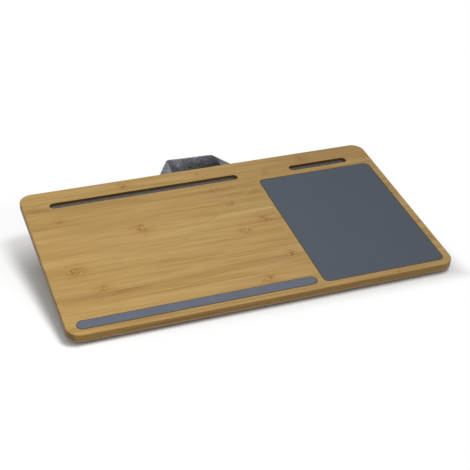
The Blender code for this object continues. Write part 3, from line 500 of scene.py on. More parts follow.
def pad_material():
    """The mouse pad's close matt weave, with painted shade along its border."""
    s = Shade("mouse_pad_cloth", Specular_IOR_Level=0.3, Sheen_Weight=0.08, Sheen_Roughness=0.4)
    where = s.place()
    height, weft = weave(s, where, 0.0009)
    cloudy = s.noise(where, 14, 3.0)
    tone = s.total(s.line(yarns(s, where, weft, 130, 1300), 0.5, -0.25), s.line(cloudy, 0.4, 0.3))
    color = s.ramp(tone, *PAD_TONES)
    # Painted shade along the pad's border, where it meets the pocket's edge
    color = s.mix(s.times(s.border(where, PAD, 0.0024), 0.85), color, (0.075, 0.058, 0.040))
    return s.finish(color, s.line(cloudy, 0.1, 0.55), s.bump(height, 0.00006, 0.6))


def rubber_material(name, color, roughness, grain):
    """Moulded rubber or silicone with a fine pebbled skin, with a painted shadow along the strip's front
    border.
    """
    s = Shade(name, Specular_IOR_Level=0.4)
    where = s.place()
    pebbles = s.node("TexVoronoi", {"Vector": where, "Scale": 1 / grain}).outputs["Distance"]
    cloudy = s.noise(where, 30, 3.0)
    shade = s.ramp(cloudy, (0.3, toned(color, 0.9)), (0.7, toned(color, 1.1)))
    # Painted shadow along the strip's front edge, in the gap under it
    front = s.span(s.split(where)["Y"], STRIP[4], STRIP[4] - 0.004)
    shade = s.mix(s.times(s.border(where, STRIP, 0.0022), front), shade, (0.050, 0.042, 0.032))
    return s.finish(shade, s.line(cloudy, 0.12, roughness), s.bump(pebbles, grain * 0.12, 0.5))


def felt_material():
    """Pressed felt: matted fibres without a weave."""
    s = Shade("slot_felt", Sheen_Weight=0.3, Sheen_Roughness=0.6, Specular_IOR_Level=0.15, Roughness=1.0)
    where = s.place()
    matted = s.noise(where, 700, 4.0, 0.7, 1.5)
    tone = s.math("MULTIPLY_ADD", matted, 0.8, s.line(s.noise(where, 180, 3.0, 0.6), 0.5, -0.15))
    color = s.ramp(tone, *FELT_TONES)
    return s.finish(color, None, s.bump(matted, 0.0005, 0.8))


def hardboard_material():
    """Pressed brown fibreboard with a smooth face."""
    s = Shade("brown_hardboard", Specular_IOR_Level=0.35)
    where = s.place()
    flakes = s.noise(where, 420, 4.0, 0.7, 0.6)
    tone = s.math("MULTIPLY_ADD", flakes, 0.7, s.line(s.noise(where, 18, 3.0), 0.5, -0.1))
    color = s.ramp(tone, *HARDBOARD_TONES)
    return s.finish(color, s.line(flakes, 0.3, 0.5), s.bump(flakes, 0.0001, 0.4))


def metal_material(name, color, roughness, brush):
    """Plated or die-cast metal, brushed or tumbled, a little uneven in tone."""
    s = Shade(name, Metallic=1.0)
    where = s.place()
    lines = s.noise(where, brush, 3.0, 0.6)
    shade = s.ramp(s.noise(where, 350, 3.0), (0.3, toned(color, 0.82)), (0.65, color))
    return s.finish(shade, s.line(lines, 0.22, roughness), s.bump(lines, 0.00002, 0.5))


def plastic_material(name, color):
    """Moulded plastic monofilament, slightly glossy."""
    s = Shade(name, Specular_IOR_Level=0.5)
    cloudy = s.noise(s.place(), 900)
    return s.finish(s.ramp(cloudy, (0.3, color), (0.7, toned(color, 1.3))), s.line(cloudy, 0.15, 0.32))


def thread_material(name, color):
    """Bonded sewing thread, its twist across each stitch."""
    s = Shade(name, Sheen_Weight=0.2, Specular_IOR_Level=0.3, Roughness=0.7)
    twist = s.noise(s.place(), 2400, 2.0, 0.6)
    color = s.ramp(twist, (0.35, toned(color, 0.65)), (0.65, toned(color, 1.35)))
    return s.finish(color, None, s.bump(twist, 0.00008, 0.7))


BAMBOO = bamboo_material()
PAD_CLOTH = pad_material()
GRIP = rubber_material("grip_silicone", (0.088, 0.102, 0.140), 0.50, 0.0006)
PAD_RUBBER = rubber_material("pad_foam_rubber", (0.028, 0.028, 0.029), 0.8, 0.0012)
FELT = felt_material()
HARDBOARD = hardboard_material()
STEEL = metal_material("screw_zinc", (0.60, 0.60, 0.61), 0.25, (900, 900, 120))
MARL_CLOTH = marl_material("marl_cloth", 0.0011)
STRAP_CLOTH = marl_material("marl_strap", 0.0010, blotched_and_painted_light=True)
LINING = plain_weave_material("lining_cloth", (0.045, 0.046, 0.052), 0.0008)
TAPE = plain_weave_material("zip_tape_cloth", (0.030, 0.031, 0.036), 0.0007)
BAG_CLOTH = plain_weave_material("bead_bag_cloth", (0.66, 0.65, 0.62), 0.0009, contrast=0.08)
THREAD = thread_material("bonded_thread", (0.060, 0.062, 0.070))
PALE_THREAD = thread_material("pale_thread", (0.30, 0.31, 0.33))
COIL = plastic_material("zip_coil", (0.022, 0.022, 0.025))
ZIP_METAL = metal_material("zip_die_cast", (0.30, 0.30, 0.31), 0.30, (1500, 300, 300))


# Meshes


def piece(name, mesh, material, nodes=(), matrix=None, body="desk"):
    """Links a mesh as a dressed piece that stands for those CAD nodes and rides on a body."""
    obj = bpy.data.objects.new(name, mesh)
    if material is not None:
        mesh.materials.clear()
        mesh.materials.append(material)
    bpy.context.scene.collection.objects.link(obj)
    if matrix is not None:
        obj.matrix_world = matrix
    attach(obj, body)
    if nodes:
        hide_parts(*nodes)
    return obj


def map_cloth(mesh, places):
    """A cloth map in metres, from one place for each point."""
    flat = np.array(places, np.float32)[[loop.vertex_index for loop in mesh.loops]]
    mesh.uv_layers.new(name="cloth").uv.foreach_set("vector", flat.ravel())


def smooth_mesh(name, points, faces, normals=None, uv=None):
    """A smooth-shaded mesh, with its own normals or a cloth map where they are given per point."""
    mesh = bpy.data.meshes.new(name)
    mesh.from_pydata([tuple(p) for p in points], [], faces)
    mesh.polygons.foreach_set("use_smooth", [True] * len(mesh.polygons))
    if uv is not None:
        map_cloth(mesh, uv)
    mesh.update()
    if normals is not None:
        mesh.normals_split_custom_set_from_vertices([tuple(n) for n in normals])
    return mesh


def face_outwards(mesh, merge=False):
    """Turns a mesh's faces outwards, after it joins the points that coincide where merge is set."""
    shape = bmesh.new()
    shape.from_mesh(mesh)
    if merge:
        bmesh.ops.remove_doubles(shape, verts=shape.verts, dist=1e-6)
    bmesh.ops.recalc_face_normals(shape, faces=shape.faces)
    shape.to_mesh(mesh)
    shape.free()
    return mesh


def thicken(obj, thickness, offset):
    """Gives a sheet its thickness, inwards from its faces (-1) or to both sides (0)."""
    thick = obj.modifiers.new("thickness", "SOLIDIFY")
    thick.thickness = thickness
    thick.offset = offset


def subdivide(obj):
    """Smooths the object by one subdivision."""
    smooth = obj.modifiers.new("smooth", "SUBSURF")
    smooth.levels = 1
    smooth.render_levels = 1


def unit(vectors):
    """The same directions, of length 1."""
    return vectors / np.linalg.norm(vectors, axis=-1, keepdims=True)


def walk_along(path):
    """Distance walked along a path, or down each column of a grid, from its first point."""
    steps = np.linalg.norm(np.diff(path, axis=0), axis=-1)
    return np.concatenate((np.zeros_like(steps[:1]), np.cumsum(steps, axis=0)))


def grid_normals(grid):
    """Directions square to a grid of points."""
    return unit(np.cross(np.gradient(grid, axis=0), np.gradient(grid, axis=1)))


def joined(*values):
    """One row of numbers for each point of a grid."""
    return np.stack(np.broadcast_arrays(*values), axis=-1).reshape(-1, len(values))


def grid_faces(rows, columns, closed):
    """Quads of a grid of points, row after row, each row a closed ring where closed is set."""
    faces = []
    for row in range(rows - 1):
        for column in range(columns if closed else columns - 1):
            beside = (column + 1) % columns
            low = row * columns
            high = low + columns
            faces.append((low + column, low + beside, high + beside, high + column))
    return faces


def tube_faces(rows, around, first=0):
    """Faces of a tube of rings from that first point on, with one over either end."""
    faces = [tuple(first + corner for corner in face) for face in grid_faces(rows, around, True)]
    faces.append(tuple(reversed(range(first, first + around))))
    faces.append(tuple(range(first + (rows - 1) * around, first + rows * around)))
    return faces


def rings_round(path, side, over, radius, sides):
    """Rings of points round a path, along two directions at each of its points."""
    turns = np.arange(sides)[:, None] * 2 * math.pi / sides
    rings = np.cos(turns) * side[:, None] + np.sin(turns) * over[:, None]
    return (path[:, None] + radius * rings).reshape(-1, 3)


def tube(name, path, radius, sides, closed=False):
    """A round bar along a path, with a cloth map."""
    path = np.array(path)
    count = len(path)
    if closed:
        tangent = np.roll(path, -1, axis=0) - np.roll(path, 1, axis=0)
        total = count * sides
        faces = [tuple(corner % total for corner in face) for face in grid_faces(count + 1, sides, True)]
    else:
        tangent = np.gradient(path, axis=0)
        faces = tube_faces(count, sides)
    tangent = unit(tangent)
    side = unit(np.cross(tangent, (0.0, 0.0, 1.0)))
    points = rings_round(path, side, np.cross(side, tangent), radius, sides)
    girth = np.arange(sides) * 2 * math.pi / sides * radius
    return face_outwards(smooth_mesh(name, points, faces, uv=joined(walk_along(path)[:, None], girth)))


def stitch_mesh(name, runs):
    """Rows of lockstitch: short threads that dip into the cloth at both ends. A run is (path, normals)."""
    points = []
    faces = []
    sides = 6
    rise = np.sin(np.linspace(0, math.pi, sides)) ** 0.5
    for path, normals in runs:
        walk = walk_along(path)
        start = STITCH_START
        while start + STITCH_LENGTH < walk[-1]:
            spots = np.linspace(start, start + STITCH_LENGTH, sides)
            line = np.stack([np.interp(spots, walk, path[:, axis]) for axis in range(3)], axis=1)
            up = unit(np.stack([np.interp(spots, walk, normals[:, axis]) for axis in range(3)], axis=1))
            line = line + up * ((rise * 0.9 - 0.55) * STITCH_THICKNESS)[:, None]
            ahead = unit(np.gradient(line, axis=0))
            side = unit(np.cross(ahead, up))
            faces += tube_faces(sides, sides, len(points))
            points.extend(rings_round(line, side, np.cross(side, ahead), STITCH_RADIUS, sides))
            start += STITCH_LENGTH + STITCH_SPACE
    return smooth_mesh(name, points, faces)


def rounded_outline(length, depth, radius, steps=16):
    """(x, y, direction x, direction y) round a rounded rectangle, counter-clockwise."""
    found = []
    for quarter, (side_x, side_y) in enumerate(((1, 1), (-1, 1), (-1, -1), (1, -1))):
        centre_x = side_x * (length / 2 - radius)
        centre_y = side_y * (depth / 2 - radius)
        for step in range(steps + 1):
            turn = (quarter + step / steps) * math.pi / 2
            point = (
                centre_x + radius * math.cos(turn),
                centre_y + radius * math.sin(turn),
                math.cos(turn),
                math.sin(turn),
            )
            if not found or math.dist(point[:2], found[-1][:2]) > 1e-7:
                found.append(point)
    if math.dist(found[0][:2], found[-1][:2]) < 1e-7:
        found.pop()
    return found


class Shell:
    """A hard-edged form built of rings that follow outlines, with exact normals."""

    def __init__(self):
        self.points = []
        self.normals = []
        self.faces = []

    def bridge(self, upper, lower):
        """Joins two rings by a wall that faces outwards, or inwards where upper and lower change places."""
        count = len(upper)
        for index in range(count):
            beside = (index + 1) % count
            self.faces.append((lower[index], lower[beside], upper[beside], upper[index]))

    def cap(self, rings, up=True):
        """A level face inside the first ring and outside the others."""
        loops = [[Vector(self.points[index]) for index in ring] for ring in rings]
        flat = [index for ring in rings for index in ring]
        for triangle in tessellate_polygon(loops):
            a, b, c = (Vector(self.points[flat[corner]]) for corner in triangle)
            faces_up = (b - a).cross(c - a).z > 0
            chosen = [flat[corner] for corner in triangle]
            self.faces.append(tuple(chosen if faces_up == up else reversed(chosen)))

    def edge(self, outline, radius, height, steps, side, centre=(0, 0), up=True):
        """A rounded edge from a level face to an upright wall: side 1 outside, -1 round an opening."""
        rings = []
        for step in range(steps + 1):
            turn = step / steps * math.pi / 2
            grow = side * radius * (math.sin(turn) - 1)
            drop = radius * (1 - math.cos(turn))
            lean = math.cos(turn) if up else -math.cos(turn)
            level = height - drop if up else height + drop
            rings.append(self.ring(outline, grow, level, lean, side, centre))
        for first, second in zip(rings, rings[1:]):
            upper, lower = (first, second) if up == (side > 0) else (second, first)
            self.bridge(upper, lower)
        return rings

    def ring(self, outline, grow, height, lean, side, centre):
        """Adds the outline grown by grow; its normals lean from level (0) to up (1) or down (-1)."""
        start = len(self.points)
        level = math.sqrt(max(1 - lean * lean, 0))
        for x, y, nx, ny in outline:
            self.points.append((centre[0] + x + nx * grow, centre[1] + y + ny * grow, height))
            self.normals.append((side * nx * level, side * ny * level, lean))
        return range(start, len(self.points))

    def mesh(self, name):
        return smooth_mesh(name, self.points, self.faces, self.normals)


def slab(name, length, width, corner, thickness, round_top, round_bottom, top=0.0, centre=(0, 0), steps=16):
    """A plate with rounded corners and rounded edges, its top face at that height."""
    shell = Shell()
    outline = rounded_outline(length, width, corner, steps)
    upper = shell.edge(outline, round_top, top, 6, 1, centre)
    lower = shell.edge(outline, round_bottom, top - thickness, 4, 1, centre, up=False)
    shell.bridge(upper[-1], lower[-1])
    shell.cap([upper[0]])
    shell.cap([lower[0]], up=False)
    return shell.mesh(name)


def board_mesh():
    """The board: rounded all round, with a pocket, a groove and two slots whose rims are eased."""
    shell = Shell()
    outline = rounded_outline(BOARD_LENGTH, BOARD_DEPTH, BOARD_CORNER_RADIUS, 28)
    upper = shell.edge(outline, BOARD_EDGE_RADIUS, 0, 8, 1)
    lower = shell.edge(outline, BOARD_EDGE_RADIUS, -BOARD_THICKNESS, 8, 1, up=False)
    shell.bridge(upper[-1], lower[-1])
    rims = []
    openings = (
        (PAD, PAD_POCKET_DEPTH, FINE_RIM_RADIUS),
        (STRIP, STRIP_GROOVE_DEPTH, FINE_RIM_RADIUS),
        (DEVICE_SLOT, SLOT_DEPTH, RIM_RADIUS),
        (PHONE_SLOT, SLOT_DEPTH, RIM_RADIUS),
    )
    for (length, width, corner, x, y), depth, radius in openings:
        opening = rounded_outline(length, width, corner, 20)
        rings = shell.edge(opening, radius, 0, 4, -1, (x, y))
        rims.append(rings[0])
        foot = shell.ring(opening, 0, -depth, 0, -1, (x, y))
        shell.bridge(foot, rings[-1])
        floor = shell.ring(opening, 0, -depth, 1, -1, (x, y))
        shell.cap([floor])
    shell.cap([upper[0], *rims])
    shell.cap([lower[0]], up=False)
    return shell.mesh("bamboo_board")


def inset(shape):
    """An inlay's length, width and corner with the fitting gap taken off."""
    length, width, corner, _, _ = shape
    return length - 2 * FIT_GAP, width - 2 * FIT_GAP, corner - FIT_GAP


def dress_board():
    """The board and what is let into it."""
    piece("dressed_board", board_mesh(), BAMBOO, ["bamboo_board"], BOARD_FRAME)
    pad = slab("mouse_pad", *inset(PAD), PAD_THICKNESS, 0.00035, 0.0002, 0, PAD[3:])
    piece("dressed_mouse_pad", pad, PAD_CLOTH, ["mouse_pad"], BOARD_FRAME)
    strip = slab("grip_strip", *inset(STRIP), STRIP_THICKNESS, 0.0005, 0.0002, 0, STRIP[3:])
    piece("dressed_grip_strip", strip, GRIP, ["grip_strip"], BOARD_FRAME)
    for name, slot in (("device_slot_liner", DEVICE_SLOT), ("phone_slot_liner", PHONE_SLOT)):
        top = FIT_GAP + LINER_THICKNESS - SLOT_DEPTH
        liner = slab(name, *inset(slot), LINER_THICKNESS, 0.0004, 0.0002, top, slot[3:])
        piece("dressed_" + name, liner, FELT, [name], BOARD_FRAME)


# Cushion


def roll(share):
    """How far a stuffed edge has left the floor: 1 at its seam, 0 from one roll width inwards."""
    inward = 1 - np.clip(share, 0, 1)
    return 1 - np.sqrt(1 - inward * inward)


def valley(y):
    """1 in the valley between the two bolsters, 0 beside it. y counts from the base's middle."""
    return roll(np.abs(y - VALLEY_PLACE) / VALLEY_HALF_WIDTH)


def seam_height(y):
    """Height over the floor of the seam between wall and base."""
    share = y / BASE_DEPTH + 1 / 2
    return SEAM_FRONT_HEIGHT + (SEAM_REAR_HEIGHT - SEAM_FRONT_HEIGHT) * share + VALLEY_SIDE_RISE * valley(y)


def base_height(x, y):
    """Height of the base's outer side before it is stuffed."""
    past_x = np.abs(x) - (COVER_LENGTH / 2 - COVER_CORNER_RADIUS)
    past_y = np.abs(y) - (BASE_DEPTH / 2 - COVER_CORNER_RADIUS)
    outside = np.hypot(np.maximum(past_x, 0), np.maximum(past_y, 0))
    distance = COVER_CORNER_RADIUS - outside - np.minimum(np.maximum(past_x, past_y), 0) - BASE_INSET
    edge = roll(distance / EDGE_ROLL_WIDTH)
    return seam_height(y) * edge + VALLEY_HEIGHT * valley(y) * (1 - edge)


def loop_outline(length, depth):
    """(x, y, direction x, direction y) round the cover, from the right end of its back."""
    half = length / 2 - COVER_CORNER_RADIUS
    reach = depth / 2 - COVER_CORNER_RADIUS
    beside_zip = np.linspace(-half, -ZIP_LENGTH / 2, 9)
    along_zip = np.linspace(-ZIP_LENGTH / 2, ZIP_LENGTH / 2, 69)
    long_side = np.concatenate((beside_zip, along_zip[1:-1], -beside_zip[::-1]))
    short_side = np.linspace(-reach, reach, 41)
    found = []
    for quarter, (nx, ny) in enumerate(((0, 1), (-1, 0), (0, -1), (1, 0)), 1):
        for place in short_side if nx else long_side:
            found.append((nx * length / 2 - ny * place, ny * depth / 2 + nx * place, nx, ny))
        for turn in np.linspace(0, math.pi / 2, 11)[1:-1]:
            out_x = math.cos(quarter * math.pi / 2 + turn)
            out_y = math.sin(quarter * math.pi / 2 + turn)
            x = (nx - ny) * half + COVER_CORNER_RADIUS * out_x
            found.append((x, (nx + ny) * reach + COVER_CORNER_RADIUS * out_y, out_x, out_y))
    return found


def stuff(points, faces, held, pressure, slack, cap):
    """Blows up a sewn panel of cloth, held at its seams, and returns where its points come to rest."""
    mesh = bpy.data.meshes.new("panel")
    mesh.from_pydata([tuple(p) for p in points], [], faces)
    obj = bpy.data.objects.new("panel", mesh)
    scene = bpy.context.scene
    scene.collection.objects.link(obj)
    group = obj.vertex_groups.new(name="sewn")
    group.add([int(index) for index in np.nonzero(held)[0]], 1.0, "REPLACE")
    settings = obj.modifiers.new("cloth", "CLOTH").settings
    for name, value in CLOTH_SETTINGS.items():
        setattr(settings, name, value)
    settings.uniform_pressure_force = pressure
    settings.shrink_min = -slack
    settings.effector_weights.gravity = 0
    for step in range(1, CLOTH_STEPS + 1):
        scene.frame_set(step)
    evaluated = obj.evaluated_get(bpy.context.evaluated_depsgraph_get())
    found = np.array([vertex.co for vertex in evaluated.data.vertices])
    scene.frame_set(1)
    bpy.data.objects.remove(obj, do_unlink=True)
    moved = found - points
    length = np.linalg.norm(moved, axis=1, keepdims=True)
    return points + moved * np.minimum(1, cap / np.maximum(length, 1e-9))


def wall_points(shares):
    """Rows of the wall's outer face, from its foot over the piping to its head under the board."""
    feet = loop_outline(COVER_LENGTH, BASE_DEPTH)
    heads = loop_outline(COVER_LENGTH, COVER_DEPTH)
    rows = []
    for share in shares:
        row = []
        for (x, y, nx, ny), (head_x, head_y, _, _) in zip(feet, heads):
            foot = Vector((x, BASE_PLACE + y, float(seam_height(y)) + PIPING_RADIUS + FIT_GAP))
            head = BOARD_FRAME @ Vector((head_x, head_y, BACKING_TOP))
            bulge = WALL_BULGE_SHARE * (head.z - foot.z) * (1 - abs(2 * share - 1) ** 4)
            dip = strap_passage(head_x, head_y) * max(0, 1 - (1 - share) / PASSAGE_SHARE)
            row.append(foot.lerp(head, share) + Vector((nx, ny, 0)) * bulge - Vector((0, 0, dip)))
        rows.append(row)
    return np.array(rows)


def strap_passage(x, y):
    """How far the wall's head dips under the handle's sewn ends."""
    if y < COVER_DEPTH / 2 - 0.001:
        return 0
    beside = min(abs(x - handle_end(side)) for side in (-1, 1)) - STRAP_WIDTH / 2
    return (1 - min(max(beside / PASSAGE_FADE, 0), 1)) * (STRAP_THICKNESS + 2 * FIT_GAP)


WALL_SHARES = np.linspace(0, 1, 13)
ZIP_ROWS = (5, 7)
MIDDLE_ROW = 6


def dress_wall():
    """The sewn wall, its zip opening, its topstitching and its puckers."""
    rows = wall_points(WALL_SHARES)
    columns = rows.shape[1]
    held = np.zeros(rows.shape[:2], bool)
    held[[0, -1]] = True
    held[:, rows[-1, :, 2] - rows[0, :, 2] < STIFF_WALL_HEIGHT] = True
    beside_zip = np.abs(rows[0, :, 0]) < ZIP_LENGTH / 2 + 0.004
    beside_zip &= rows[0, :, 1] > BASE_PLACE + BASE_DEPTH / 2 - 0.001
    held[ZIP_ROWS[0] - 2 : ZIP_ROWS[1] + 3, beside_zip] = True
    faces = grid_faces(len(WALL_SHARES), columns, True)
    settled = stuff(rows.reshape(-1, 3), faces, held.ravel(), 3.0, 0.03, 0.0045).reshape(rows.shape)

    # The ring's last column repeats the first, so that the cloth map doesn't run backwards there
    settled = np.concatenate((settled, settled[:, :1]), axis=1)
    walk = walk_along(np.concatenate((rows[MIDDLE_ROW], rows[MIDDLE_ROW, :1])))
    faces = []
    for face in grid_faces(len(WALL_SHARES), columns + 1, False):
        row, column = divmod(face[0], columns + 1)
        x, y, _ = settled[row : row + 2, column : column + 2].reshape(-1, 3).mean(axis=0)
        at_zip = abs(x) < ZIP_LENGTH / 2 and y > BASE_PLACE + BASE_DEPTH / 4
        if not (at_zip and ZIP_ROWS[0] <= row < ZIP_ROWS[1]):
            faces.append(face)
    mesh = smooth_mesh("cover_wall", settled.reshape(-1, 3), faces, uv=joined(walk, walk_along(settled)))
    face_outwards(mesh, merge=True)
    wall = piece("dressed_cover_wall", mesh, MARL_CLOTH, ["cover_side_band"])
    thicken(wall, FABRIC_THICKNESS, -1)
    subdivide(wall)
    dress_wall_stitching(settled)


def dress_wall_stitching(settled):
    """Two rows of stitches round the zip's opening, and one row above the piping, where the wall is high."""
    outward = grid_normals(settled)
    outward *= np.sign(np.sum(outward * (settled - settled.mean(axis=(0, 1))), axis=2, keepdims=True))
    middle = settled[MIDDLE_ROW]
    at_zip = (middle[:, 1] > BASE_PLACE + BASE_DEPTH / 4) & (np.abs(middle[:, 0]) < ZIP_LENGTH / 2 + 0.001)
    runs = [(settled[row, at_zip], outward[row, at_zip]) for row in (ZIP_ROWS[0] - 1, ZIP_ROWS[1] + 1)]
    high = settled[-1, :, 2] - settled[0, :, 2] > STITCHED_WALL_HEIGHT
    for start in np.nonzero(high & ~np.roll(high, 1))[0]:
        columns = [(start + step) % len(high) for step in range(len(high))]
        stop = next((step for step, column in enumerate(columns) if not high[column]), len(columns))
        if stop > 3:
            runs.append((settled[1, columns[:stop]], outward[1, columns[:stop]]))
    piece("wall_stitching", stitch_mesh("wall_stitching", runs), PALE_THREAD, ())


def eased_places(half, radius, count):
    """Places from -half to half with count even ones between two rounded ends, where they stand closer."""
    ends = half - radius * (1 - np.sin(np.linspace(0, math.pi / 2, 9)))
    return np.concatenate((-ends[::-1], np.linspace(-ends[0], ends[0], count)[1:-1], ends))


def dress_base():
    """The base panel: two stuffed bolsters that lie flat where they touch the floor."""
    half_length = COVER_LENGTH / 2 - BASE_INSET
    radius = COVER_CORNER_RADIUS - BASE_INSET
    half = BASE_DEPTH / 2
    y = eased_places(half, COVER_CORNER_RADIUS, 41)[:, None] * (1 - 2 * BASE_INSET / BASE_DEPTH)
    past = np.maximum(np.abs(y) - (half - COVER_CORNER_RADIUS), 0)
    reach = half_length - radius + np.sqrt(np.maximum(radius * radius - past * past, 0))
    x = eased_places(1, radius / half_length, 83) * reach
    y = np.broadcast_to(y, x.shape)
    held = np.abs(y - VALLEY_PLACE) < 0.002
    held[[0, -1]] = True
    held[:, [0, -1]] = True
    faces = [tuple(reversed(face)) for face in grid_faces(*x.shape, False)]
    height = base_height(x, y)
    settled = stuff(joined(x, BASE_PLACE + y, height), faces, held.ravel(), 2.0, 0.025, 0.005)
    settled[:, 2] = np.clip(settled[:, 2], FLOOR_CLEARANCE, height.ravel() + WRINKLE_HEIGHT)
    mesh = smooth_mesh("cover_base", settled, faces, uv=joined(x, y))
    base = piece("dressed_cover_base", mesh, MARL_CLOTH, ["cover_base_panel"])
    thicken(base, FABRIC_THICKNESS, -1)
    subdivide(base)


def dress_piping():
    """The covered cord in the seam between wall and base, a little uneven as sewn cord is."""
    rng = np.random.default_rng(SEED)
    outline = loop_outline(COVER_LENGTH, BASE_DEPTH)
    phases = rng.uniform(0, 2 * math.pi, 4)
    path = []
    for index, (x, y, nx, ny) in enumerate(outline):
        turn = 2 * math.pi * index / len(outline)
        sway = PIPING_SWAY * (math.sin(23 * turn + phases[0]) + math.sin(41 * turn + phases[1]))
        lift = PIPING_SWAY * (math.sin(17 * turn + phases[2]) + math.sin(37 * turn + phases[3]))
        path.append((x + nx * sway, BASE_PLACE + y + ny * sway, float(seam_height(y)) + lift))
    mesh = tube("cover_piping", path, PIPING_RADIUS - 0.0001, 14, True)
    piece("dressed_piping", mesh, MARL_CLOTH, ["cover_piping"])


def dress_panel():
    """The cover's top panel, clamped under the board."""
    sizes = (COVER_LENGTH, COVER_DEPTH, COVER_CORNER_RADIUS, FABRIC_THICKNESS)
    mesh = slab("cover_top_panel", *sizes, 0.0004, 0.0004, PANEL_TOP, steps=12)
    map_cloth(mesh, [vertex.co[:2] for vertex in mesh.vertices])
    piece("dressed_top_panel", mesh, MARL_CLOTH, ["cover_top_panel"], BOARD_FRAME)


def board_row(y, height):
    """The board's own Y of a point at that Y over the floor and that height in the board's frame."""
    return (y - FRAME_PLACE + height * math.sin(TILT)) / math.cos(TILT)


def bag_points(front, back, shares):
    """Rings of a bead bag between two distances from the base's middle, on its lower then its upper face."""
    depth = back - front - 0.002
    outline = rounded_outline(COVER_LENGTH - 0.011, depth, COVER_CORNER_RADIUS - BAG_INSET, 10)
    corners = [point[:2] for point in outline]
    dense = []
    for here, beyond in zip(corners, corners[1:] + corners[:1]):
        steps = max(int(math.dist(here, beyond) / BAG_SPACING), 1)
        dense.extend(np.linspace(here, beyond, steps, endpoint=False))
    dense = np.array(dense)
    rings = []
    for share, side in shares:
        x = dense[:, 0] * share
        y = (front + back) / 2 + dense[:, 1] * share
        low = base_height(x, y) + FABRIC_THICKNESS + WRINKLE_HEIGHT + 0.0010
        row = board_row(BASE_PLACE + y, BACKING_UNDERSIDE)
        high = FRAME_HEIGHT + row * math.sin(TILT) + BACKING_UNDERSIDE * math.cos(TILT) - 0.0012
        z = (low + high) / 2 + side * math.sqrt(1 - share**6) * (high - low) / 2
        rings.append(np.stack((x, BASE_PLACE + y, z), axis=1))
    return np.array(rings)


def dress_bags():
    """The two bead bags inside the cushion, lumpy with beads, gathered at the seam round their edge."""
    rng = np.random.default_rng(SEED)
    steps = [0.04, 0.2, 0.36, 0.5, 0.63, 0.74, 0.83, 0.9, 0.95, 0.985]
    shares = [(share, -1) for share in steps] + [(1, 1)] + [(share, 1) for share in reversed(steps)]
    half = BASE_DEPTH / 2 - BAG_INSET
    bags = (
        ("front_bead_bag", -half + 0.008, VALLEY_PLACE - BAFFLE_ROOM, 0.6),
        ("rear_bead_bag", VALLEY_PLACE + BAFFLE_ROOM, half, 0.7),
    )
    for name, front, back, fill in bags:
        rows = bag_points(front, back, shares)
        count = rows.shape[1]
        lumps = rng.uniform(-1, 1, rows.shape[:2])
        pinch = np.cos(np.arange(count) * 2 * math.pi / 6)
        for row, (share, side) in enumerate(shares):
            rows[row, :, 2] -= side * LUMP_HEIGHT * (1 + lumps[row]) * (1 - share**6)
            rows[row, :, 0] *= 1 - 0.004 * share**20 * (1 + pinch)
        points = rows.reshape(-1, 3)
        mesh = face_outwards(smooth_mesh(name, points, tube_faces(len(shares), count), uv=points[:, :2]))
        bag = piece("dressed_" + name, mesh, BAG_CLOTH, [name])
        subdivide(bag)


def dress_sheet(name, node, counts, thickness, material, sway):
    """An upright sheet that fills its node's box, moved along Y by sway(x, share of its height)."""
    low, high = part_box(node)
    x = np.linspace(low.x, high.x, counts[0])
    z = np.linspace(low.z, high.z, counts[1])[:, None]
    y = (low.y + high.y) / 2 + sway(x, (z - low.z) / (high.z - low.z))
    mesh = smooth_mesh(node, joined(x, y, z), grid_faces(counts[1], counts[0], False), uv=joined(x, z))
    thicken(piece(name, mesh, material, [node]), thickness, 0)


def baffle_slack(x, share):
    """The baffle's waves, none at its sewn edges."""
    return 0.0004 * np.sin(x * 90) * np.sin(math.pi * share)


def dress_baffle():
    """The inner wall that draws the valley in, slightly slack."""
    dress_sheet("dressed_baffle", "bolster_baffle", (90, 7), 0.0009, LINING, baffle_slack)


# Handle


def handle_end(side):
    """Middle of one of the handle's sewn ends: side is -1 on the left, 1 on the right."""
    return HANDLE_CENTRE + side * HANDLE_SPAN / 2


def leg_section(side, share):
    """The leg's two edge points between the seam (share 0) and the board's back edge (share 1)."""
    middle = handle_end(side) - side * LEG_TOE_IN * share
    y = SEAM_PLACE + (BOARD_DEPTH / 2 - SEAM_PLACE) * share
    at_seam = (STRAP_TOP + STRAP_UNDERSIDE) / 2
    at_edge = -BOARD_THICKNESS - FIT_GAP - STRAP_THICKNESS / 2
    z = at_seam + (at_edge - at_seam) * share
    outer = Vector((middle + side * STRAP_WIDTH / 2, y, z))
    inner = Vector((middle - side * STRAP_WIDTH / 2, y, z))
    return outer, inner


def handle_corner(side):
    """One of the two upper corners of the standing band."""
    x = HANDLE_TOP_CENTRE + side * HANDLE_TOP_LENGTH / 2
    return Vector((x, HANDLE_TOP_PLACE, HANDLE_RISE - (1 + side) * HANDLE_TOP_DROOP / 2))


def crease(side):
    """The two ends of the fold between leg and band."""
    outer, inner = leg_section(side, 1)
    down = (outer - handle_corner(side)).normalized()
    setback = RIGHT_CREASE_SETBACK if side > 0 else 0
    return handle_corner(side) + down * setback, inner + Vector((-side * FOLD_CANT, FOLD_RUN, -FOLD_CANT))


def fold_section(side, share):
    """Between the board's back edge (share 0) and the crease (share 1)."""
    outer, inner = leg_section(side, 1)
    crease_outer, crease_inner = crease(side)
    return outer.lerp(crease_outer, share), inner.lerp(crease_inner, share)


def band_section(share, upper):
    """The standing band at that share of its way from crease to crease."""
    fold = crease(-1)[1].lerp(crease(1)[1], share)
    hanging = Vector((fold.x, HANDLE_TOP_PLACE - BAND_LEAN, upper.z - BAND_DROP))
    return upper, fold.lerp(hanging, math.sin(math.pi * share) ** BAND_DROP_POWER)


